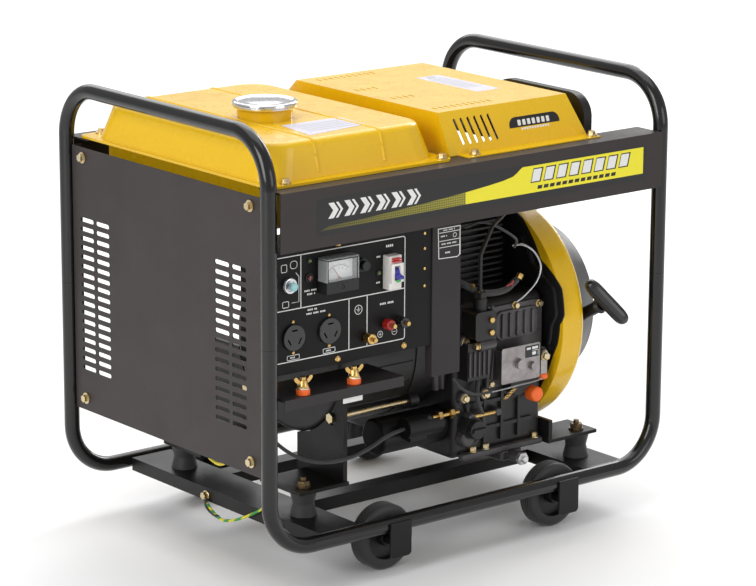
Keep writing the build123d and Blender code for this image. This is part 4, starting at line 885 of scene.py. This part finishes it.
def cover_labels():
    """Black pill label on the front face of the heat cover and a pale sticker on its roof."""
    slope = Vector((0, 20, 59)).normalized()
    plane = ((1, 0, 0), tuple(slope))
    origin = Vector((0, -200.0, 561.0))
    on_pill = origin + Vector((1, 0, 0)).cross(slope) * 0.25
    Kit("cover_pill", BLACK_INK).prism(rounded(101, 16, 194, 40.5, 12, 8), origin, 0.25, plane).done()
    marks = Kit("cover_pill_marks", WHITE_INK)
    for i in range(7):
        marks.prism(rounded(117 + i * 8.8, 28, 122.6 + i * 8.8, 36, 1, 2), on_pill, 0.1, plane)
    for i in range(11):
        marks.prism(rounded(122 + i * 4.8, 21.5, 125.4 + i * 4.8, 24.5, 0.4, 1), on_pill, 0.1, plane)
    marks.done()
    sticker = Kit("cover_sticker", PALE_STICKER)
    sticker.prism(rounded(126, -93, 168, 42, 2, 2), (0, 0, COVER_ROOF_Z), 0.15, TOP)
    sticker.done()
    bars = Kit("cover_sticker_bars", GREY_INK)
    on_sticker = (0, 0, COVER_ROOF_Z + 0.15)
    for i in range(7):
        left = 131 + i * 4.6
        bars.prism(rounded(left, -62, 133 + i * 4.6, 20 + 8 * (i % 2), 0.3, 1), on_sticker, 0.06, TOP)
    bars.prism(rounded(138, 26, 152, 38, 2, 2), on_sticker, 0.06, TOP)
    bars.done()


def surface_of(node):
    """Ray caster for a CAD node's skin, in millimetres."""
    mesh = frame["nodes"][node].data
    verts = [v.co * 1000.0 for v in mesh.vertices]
    return BVHTree.FromPolygons(verts, [tuple(p.vertices) for p in mesh.polygons])


def tank_details():
    """Pressed beads across the tank, and a pale sticker."""
    skin = surface_of("fuel_tank")
    bead = Kit("tank_beads", "yellow_paint")
    for x in (-243.0, -131.0):
        path = []
        for z in range(572, 604, 5):
            hit = skin.ray_cast(Vector((x, -400, z)), Vector((0, 1, 0)))[0]
            if hit:
                path.append(hit + Vector((0, 0.4, 0)))
        for y in range(-198, 199, 6):
            hit = skin.ray_cast(Vector((x, y, 800)), Vector((0, 0, -1)))[0]
            if hit and not path or hit and (hit - path[-1]).length > 2.0:
                path.append(hit + Vector((0, 0, -0.5)))
        for z in range(600, 571, -5):
            hit = skin.ray_cast(Vector((x, 400, z)), Vector(OUT))[0]
            if hit:
                path.append(hit + Vector((0, -0.4, 0)))
        bead.sweep(path, 2.1, 10, 3)
    bead.done()
    drape(skin, "tank_sticker", PALE_STICKER, [(-222, -93), (-123, -95), (-125, -155), (-231, -170)], 0.2)
    for i in range(5):
        y = -108 - i * 9.5
        bar = [(-212 - i, y), (-136, y), (-136, y - 3.2), (-213 - i, y - 3.2)]
        drape(skin, f"tank_sticker_bar_{i}", (GREY_INK[0], "white_plastic"), bar, 0.32)


def drape(skin, name, finish, corners, lift, steps=14):
    """A four-cornered sticker laid on the skin from above."""
    a, b, c, d = (Vector(p) for p in corners)
    verts = []
    for i in range(steps + 1):
        for j in range(steps + 1):
            s, t = i / steps, j / steps
            flat = (a * (1 - s) + b * s) * (1 - t) + (d * (1 - s) + c * s) * t
            hit = skin.ray_cast(Vector((flat.x, flat.y, 800)), Vector((0, 0, -1)))[0]
            height = hit.z if hit else 613.0
            verts.append((flat.x, flat.y, height + lift))
    kit = Kit(name, finish)
    kit.add(verts, quads(steps + 1, steps + 1, close_sides=False))
    kit.done()


def fuel_cap():
    """Chromed filler cap: domed lid, rolled and grooved rim, and a skirt below."""
    x0, x1, y0, y1, _, top = box_mm("fuel_cap")
    cx, cy, radius = (x0 + x1) / 2, (y0 + y1) / 2, (x1 - x0) / 2
    chrome = Kit("fuel_cap_rim", "chrome_cap", "tank_cap", 40)
    rim = ((12, 9.5), (2.5, 9.7), (1.0, 9.2), (0.1, 7.8), (0.1, 6.3), (1.3, 5.8), (1.3, 4.9), (0.1, 4.4),
           (0.1, 2.0), (1.2, 0.5), (3, 0.05), (5.0, 0.3), (6.6, 1.9), (8, 2.2), (20, 1.1))
    profile = [(radius - inward, top - down) for inward, down in rim] + [(12, top - 0.4), (0.5, top - 0.25)]
    chrome.lathe((cx, cy, 0), (0, 0, 1), profile, 72)
    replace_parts(chrome.done(), "fuel_cap")
    skirt = Kit("fuel_cap_lugs", "chrome_cap", "tank_cap")
    skirt.ring((cx, cy, top - 21), (0, 0, 1), [(31.0, 0), (31.0, 11.6), (28.5, 11.6), (28.5, 0)], 48)
    skirt.done()


def wheels():
    """Ribbed rubber tyres on moulded hubs."""
    for node, body in (("front_left_wheel", "wheel_front_left"), ("front_right_wheel", "wheel_front_right"),
                       ("rear_left_wheel", "wheel_rear_left"), ("rear_right_wheel", "wheel_rear_right")):
        x0, x1, y0, y1, z0, z1 = box_mm(node)
        cx, middle, cz, outer = (x0 + x1) / 2, (y0 + y1) / 2, (z0 + z1) / 2, (z1 - z0) / 2
        half = 13.5
        shoulder = ((15, 0), (4.5, 0), (1.6, 1.6), (0.4, 4))
        profile = [(outer - down, inward - half) for down, inward in shoulder]
        for i in range(5):
            at = -half + 5.2 + i * 4.0
            rib = ((0, -0.6), (0, 1.4), (1.3, 1.9), (1.3, 2.7))
            profile += [(outer - down, at + along) for down, along in rib]
        profile += [(outer - down, half - inward) for down, inward in reversed(shoulder)]
        tyre = Kit(node + "_tyre", "wheel_rubber", body, 40)
        tyre.ring((cx, middle, cz), (0, 1, 0), profile, 64)
        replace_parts(tyre.done(), node)
        hub = Kit(node + "_hub", "black_plastic", body, 40)
        side = [(5.6, half + 2), (11, half + 2), (12, half), (12.5, 5), (outer - 17, 5),
                (outer - 15.5, half - 1), (outer - 14.6, half - 1)]
        hub.ring((cx, middle, cz), (0, 1, 0), [(r, -along) for r, along in side] + side[::-1], 64)
        for i in range(5):
            angle = 2 * math.pi * i / 5
            along = Vector((math.cos(angle), 0, math.sin(angle)))
            centre = Vector((cx, middle, cz))
            hub.sweep([centre + along * 11, centre + along * (outer - 16)], 4.0, 10, 1)
        hub.done()


# The fan shroud's axis, and the air guide's outer radius at angles above the front, in degrees.
SHROUD_Y, SHROUD_Z = -33.0, 283.0
GUIDE_FULL = 168.0
GUIDE_OUTLINE = ((-60, GUIDE_FULL), (-52, GUIDE_FULL), (-44, 160), (-36, 154), (-16, 154), (-8, 160),
                 (3.2, 163), (6.3, 173), (20.5, 176), (26, GUIDE_FULL), (38.3, 151.7), (52.9, 160.6),
                 (63, GUIDE_FULL), (300, GUIDE_FULL))


def guide_radius(angle):
    """Outer radius of the air guide at an angle above the front, in degrees."""
    for (low, first), (high, second) in zip(GUIDE_OUTLINE, GUIDE_OUTLINE[1:]):
        if low <= angle <= high:
            return first + (second - first) * (angle - low) / (high - low)
    return GUIDE_FULL


def shroud_details():
    """Black sheet that closes the engine side of the yellow drum, over a yellow face ring."""
    face = Kit("shroud_face_ring", "yellow_paint", sharp=40)
    face.ring((199.3, SHROUD_Y, SHROUD_Z), (1, 0, 0),
              [(167.8, 0.5), (166.0, 0.0), (140, 0.0), (140, 0.5), (167.8, 1.0)], 96)
    face.done()
    guide = Kit("air_guide_plate", GUIDE_BLACK)
    steps = 144
    rows = [[], [], [], []]
    for i in range(steps):
        angle = -60 + 360 * i / steps
        outer = guide_radius(angle)
        turn = math.radians(angle)
        section = ((outer - 2.5, 196.4), (outer, 197.6), (outer, 199.2), (46.0, 199.2))
        for row, (radius, x) in enumerate(section):
            y, z = SHROUD_Y - radius * math.cos(turn), SHROUD_Z + radius * math.sin(turn)
            rows[row].append(Vector((x, y, z)))
    rows.append([Vector((196.4, p.y, p.z)) for p in rows[3]])
    points = [p for row in rows for p in row]
    guide.add(points, quads(5, steps, close_rows=True))
    for turn in (-50, -12, 30, 75, 120, 165, 210, 255):
        at = math.radians(turn)
        centre = (196.4, SHROUD_Y - 146 * math.cos(at), SHROUD_Z + 146 * math.sin(at))
        guide.hexagon(centre, (-1, 0, 0), 8, 3.5)
    rib = []
    for turn in range(-40, 62, 6):
        at = math.radians(turn)
        reach = guide_radius(turn) - 15
        rib.append((196.4, SHROUD_Y - reach * math.cos(at), SHROUD_Z + reach * math.sin(at)))
    guide.sweep(rib, 3.6, 10, 3)
    guide.done()


def pull_grip():
    """A fluted barrel grip, its neck and the rope, drawn out of the recoil starter together."""
    turn = math.radians(30)
    away = Vector((0, -math.cos(turn), math.sin(turn)))
    rope_off = 62.7         # the rope leaves the reel this far from the shroud's axis
    start = Vector((268, SHROUD_Y - rope_off * math.sin(turn), SHROUD_Z - rope_off * math.cos(turn)))
    centre = start + away * 177
    lean = Vector((0.54, -0.421, -0.729)).normalized()
    side = lean.cross(away).normalized()
    grip = Kit("pull_grip", "gloss_black_plastic", "grip", 50)
    steps, rings = 48, 27
    points = []
    for k in range(rings):
        t = -1 + 2 * k / (rings - 1)
        along = 42 * math.sin(t * math.pi / 2)
        body = 10.4 * (1 - abs(math.sin(t * math.pi / 2)) ** 7) ** 0.5 + 0.3
        for i in range(steps):
            angle = 2 * math.pi * i / steps
            flute = 1 + 0.035 * math.cos(12 * angle) * (1 - t ** 4)
            out = away * math.cos(angle) + side * math.sin(angle)
            points.append(centre + lean * along + out * body * flute)
    grip.add(points, caps(rings, steps) + quads(rings, steps))
    grip.lathe(start + away * 166.2, away, [(4.5, 0), (5.4, 1.5), (5.8, 6), (8.0, 8.5)], 32)
    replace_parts(grip.done(), "recoil_grip")
    rope = Kit("pull_rope", "black_rubber", "grip")
    rope.sweep([start + away * -100, start + away * 30, start + away * 100, start + away * 167], 2.2, 14, 2)
    rope.done()


def engine_details():
    """Covers, bosses, pipes, links and bolts on the visible side of the engine."""
    front = -165.0              # the crankcase's front face
    boss_places = ((40, 204), (40, 286), (78, 204))
    drain_x, drain_z = 131, 104
    plate_y = -191.5            # the speed plate's front face
    cast = Kit("engine_front_castings", CASE_GREY, bevel=0.8)
    cast.prism(rounded(82, 208, 188, 328, 16, 6), (0, front, 0), 5.0, FRONT, 1.5)
    cast.prism(rounded(96, 276, 176, 320, 12, 6), (0, front - 5, 0), 4.0, FRONT, 2.0)
    for x in (108, 122, 136, 150, 164):
        cast.prism(rounded(x - 2, 280, x + 2, 316, 1.8, 3), (0, front - 9, 0), 3.5, FRONT, 0.6)
    for x, z in boss_places:
        cast.lathe((x, front, z), OUT, [(9.5, 0), (8.6, 7), (8.0, 9)], 28)
    cast.lathe((50, -190.5, 282), (1, 0, 0), [(8.2, 0), (8.2, 26), (6.5, 29)], 28)
    for x in (37, 45.5, 54, 62.5, 71):
        cast.prism(rounded(x - 1.5, 236, x + 1.5, 274, 1.2, 2), (0, -187, 0), 2.4, FRONT, 0.4)
    cast.box((36, -176, 112), (188, -164, 122), 2.0)
    cast.box((112, -172, 96), (152, -120, 113), 3.0)
    cast.lathe((drain_x, -160, drain_z), OUT, [(8.5, 0), (8.5, 30), (7.5, 32)], 24)
    cast.prism(rounded(-172, 132, -48, 262, 16, 6), (0, 95, 0), 5.0, BACK, 1.5)
    cast.prism(rounded(-158, 148, -62, 244, 12, 6), (0, 100, 0), 4.0, BACK, 2.0)
    for x in (80, 96, 112, 128, 144):
        cast.prism(rounded(-x - 2, 156, -x + 2, 236, 1.8, 3), (0, 104, 0), 3.5, BACK, 0.6)
    cast.lathe((44, front - 1, 145), OUT, [(13, 0), (12, 12), (10, 14)], 28)
    cast.done()
    ribs = Kit("engine_flow_ribs", CASE_GREY)
    for i, x in enumerate((84.5, 92.0)):
        ribs.sweep([(x, -170, 330), (x - 2, -172, 300), (x + 3, -172, 275), (x + 1, -169, 212)], 3.4, 10, 6)
    for x in (24.0, 12.0):
        ribs.sweep([(x + 6, -118, 330), (x, -132, 300), (x, -140, 262), (x + 6, -136, 214)], 7.0, 12, 6)
    ribs.done()
    bolts = Kit("engine_case_bolts", "zinc_bolt")
    for x, z in ((90, 216), (90, 320), (180, 320), (180, 216), (135, 324)):
        bolts.bolt((x, front - 5, z), OUT, 8, 5)
    for x, z in boss_places:
        bolts.bolt((x, front - 9, z), OUT, 9, 5)
    bolts.bolt((49.5, -190.5, 282), (-1, 0, 0), 9, 5)
    for x in (55, 110, 165):
        for z in (139, 255):
            bolts.bolt((x, 100, z), (0, 1, 0), 8, 5)
    for x in (59, 83, 176):
        bolts.bolt((x, -170, 122), (0, 0, 1), 9, 6)
    bolts.done()
    brass = Kit("engine_brass_fittings", "brass")
    for x in (-9.0, 13.0):
        brass.hexagon((x, -172, 186), (1, 0, 0), 13, 8)
    brass.lathe((-18, -172, 186), (1, 0, 0), [(3.2, 0), (3.2, 48)], 18)
    brass.lathe((54, -177, 175.5), (1, 0, 0), [(3.4, 0), (3.4, 44)], 20)
    brass.hexagon((60, -178, 351), (0, 0, 1), 11, 7)
    brass.hexagon((139, -172, 362), (0.6, 0, 0.8), 10, 8)
    brass.hexagon((48, -172, 364), (1, 0, -0.3), 10, 7)
    for z in (318, 300):
        brass.hexagon((69, -195, z), OUT, 8, 4)
    coil = []
    for i in range(61):
        angle = 2 * math.pi * i / 8
        t = i / 60
        coil.append((98 + 20 * t + 3.2 * math.cos(angle), -193 + 3.2 * math.sin(angle), 197 + 14 * t))
    brass.sweep(coil, 0.6, 6, 1)
    brass.done()
    blocks = Kit("engine_pipe_bosses", CASE_GREY)
    for x in (50, 98):
        blocks.lathe((x, front, 175.5), OUT, [(6.5, 0), (6.0, 15), (4.5, 17)], 20)
    blocks.done()
    nut = Kit("engine_drain_nut", "bright_plate")
    nut.hexagon((drain_x, -192, drain_z), OUT, 17, 7)
    nut.lathe((drain_x, -199, drain_z), OUT, [(5.2, 0), (5.2, 4), (4.0, 5)], 20)
    nut.done()
    hoses = Kit("engine_hoses", "black_rubber")
    for radius, sides, *route in (
            (4.6, 14, (36, -160, 372), (50, -172, 362), (73, -176, 352), (111, -174, 350), (137, -171, 361)),
            (1.9, 10, (45, -165, 448), (68, -170, 453), (94, -172, 445), (136, -168, 420), (150, -150, 402)),
            (1.9, 10, (-2, -197, 246), (11, -197, 231), (30, -196, 219), (47, -196, 214), (70, -196, 213)),
            (3.6, 12, (66, -171, 228), (60, -178, 200), (72, -176, 170), (66, -172, 140), (48, -170, 132)),
            (4.2, 12, (-20, -172, 186), (-34, -168, 182), (-44, -150, 176), (-46, -128, 172))):
        hoses.sweep(route, radius, sides, 8)
    hoses.done()
    wires = Kit("engine_control_wires", "shaft_steel")
    wires.sweep([(144, -152, 406), (158, -160, 406), (172, -168, 395), (181, -172, 374), (172, -174, 354),
                 (152, -174, 338), (136, -171, 328)], 1.7, 10, 8)
    wires.sweep([(70, -196, 213), (95, -197, 213.5), (122, -198, 215), (150, -194, 214), (174, -188, 214)],
                1.2, 10, 6)
    wires.done()
    red = Kit("engine_red_clip", "red_plastic")
    red.sweep([(112, -177, 356), (120, -178, 359), (124, -178, 363), (121, -178, 355)], 1.3, 8, 4)
    red.done()
    ground = rounded(137, 250, 163, 267, 1.5, 2)
    Kit("speed_plate_label", BLACK_INK).prism(ground, (0, plate_y, 0), 0.3).done()
    white = Kit("speed_plate_label_marks", WHITE_INK)
    for box in ((139.5, 261.5, 147, 264.5), (149.5, 261.5, 160.5, 265), (150, 253, 157, 257.5)):
        white.prism(rounded(*box, 0.3, 1), (0, plate_y - 0.3, 0), PRINT)
    white.band([(150.0, 259.5), (161, 259.5), (161, 252)], 0.8, (0, plate_y - 0.3, 0), PRINT, closed=False)
    white.done()


def frame_details():
    """Earth bolt on the left cross-member, the two leads and a loop of yellow wire."""
    Kit("earth_bolt", "zinc_bolt").bolt((-254, 40, 66), (-1, 0, 0), 10, 6).done()
    sleeve = Kit("earth_wire_sleeve", "black_rubber")
    sleeve.sweep([(-257, 38, 62), (-259, 32, 52), (-259, 20, 46), (-258, 6, 43)], 2.6, 12, 8)
    sleeve.done()
    wire = Kit("earth_wire", EARTH_WIRE)
    wire.sweep([(-257.5, 36, 57), (-258.5, 12, 45), (-258, -10, 42), (-258, -50, 56), (-258, -100, 84),
                (-264, -134, 116), (-282, -151, 168), (-296, -157, 222), (-301, -157.5, 268),
                (-300, -156.5, 309.2)], 2.0, 14, 8)
    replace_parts(wire.done(), "harness_leads")
    lead = Kit("starter_lead", "black_rubber")
    lead.sweep([(-318, -156.5, 309.3), (-320, -158, 268), (-314, -168, 232), (-294, -182, 200),
                (-262, -190.5, 177), (-222, -193.5, 165), (-176, -191.5, 163), (-134, -183.5, 168.5),
                (-98, -172, 174), (-62.6, -165, 176)], 2.6, 16, 8)
    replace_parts(lead.done(), "harness_leads")
    loop = Kit("yellow_wire_loop", EARTH_YELLOW)
    loop.sweep([(-330, -55, 178), (-328, -70, 163), (-326, -88, 157), (-326, -105, 163), (-328, -118, 178)],
               2.2, 12, 8)
    loop.done()


WELD_STUDS_X = (-292.0, -206.0)
WELD_Y = -233.0


def weld_terminals():
    """Zinc washers between the orange insulators and the wing nuts."""
    zinc = Kit("weld_washers", "bright_plate")
    for x in WELD_STUDS_X:
        zinc.ring((x, WELD_Y, 290.1), (0, 0, 1), [(9.0, 0), (9.0, 1.2), (4.4, 1.2), (4.4, 0)], 32)
    zinc.done()


def wing_nuts():
    """Pressed brass wing nuts with thin, rounded wings."""
    for side_name, x in zip(("left", "right"), WELD_STUDS_X):
        node, body = side_name + "_wing_nut", side_name + "_weld_nut"
        *_, z0, z1 = box_mm(node)
        nut = Kit(node + "_hub", "brass", body, 40)
        nut.ring((x, WELD_Y, z0), (0, 0, 1),
                 [(7.5, 0), (7.5, 1.2), (6.6, 2.4), (6.0, 7.2), (5.2, 8.0), (4.1, 8.0), (4.1, 0)], 40)
        for side in (-1, 1):
            wing = [(x + side * across, z0 + up) for across, up in (
                (4.6, 1.8), (8.6, 3.4), (12.6, 6.2), (15.0, 9.2), (15.2, 11.2))]
            wing += [(x + side * 13.4, z1 - 0.2), (x + side * 10.6, z1 - 0.6),
                     (x + side * 8.0, z0 + 9.4), (x + side * 5.0, z0 + 7.4)]
            nut.prism(smooth_line(wing + [wing[0]], 4)[:-1], (0, -232.0, 0), 1.9)
        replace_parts(nut.done(), node)


def speed_tip():
    """The small orange end of the speed lever and the pivot's bright bolt."""
    tip = Kit("speed_lever_tip", "orange_plastic", "speed_arm", bevel=0.6)
    tip.box((170.5, -187.4, 210.5), (185.5, -181.2, 219.5), 1.6)
    tip.done()
    Kit("speed_lever_bolt", "zinc_bolt", "speed_arm").bolt((178, -187.2, 246), OUT, 10, 5).done()


def shelf_tag():
    """A small blank white tag under the weld shelf."""
    Kit("shelf_tag", WHITE_INK).prism(rounded(-233, 260.5, -200, 276, 0.5, 1), (0, -243.4, 0), 0.5).done()


front_label()
panel_print()
panel_fittings()
meter_face()
post_label()
cover_labels()
tank_details()
breaker_print()
key_face()
fuel_cap()
wheels()
shroud_details()
engine_details()
frame_details()
weld_terminals()
shelf_tag()
wing_nuts()
pull_grip()
speed_tip()

add_camera()
add_lights()
add_floor()
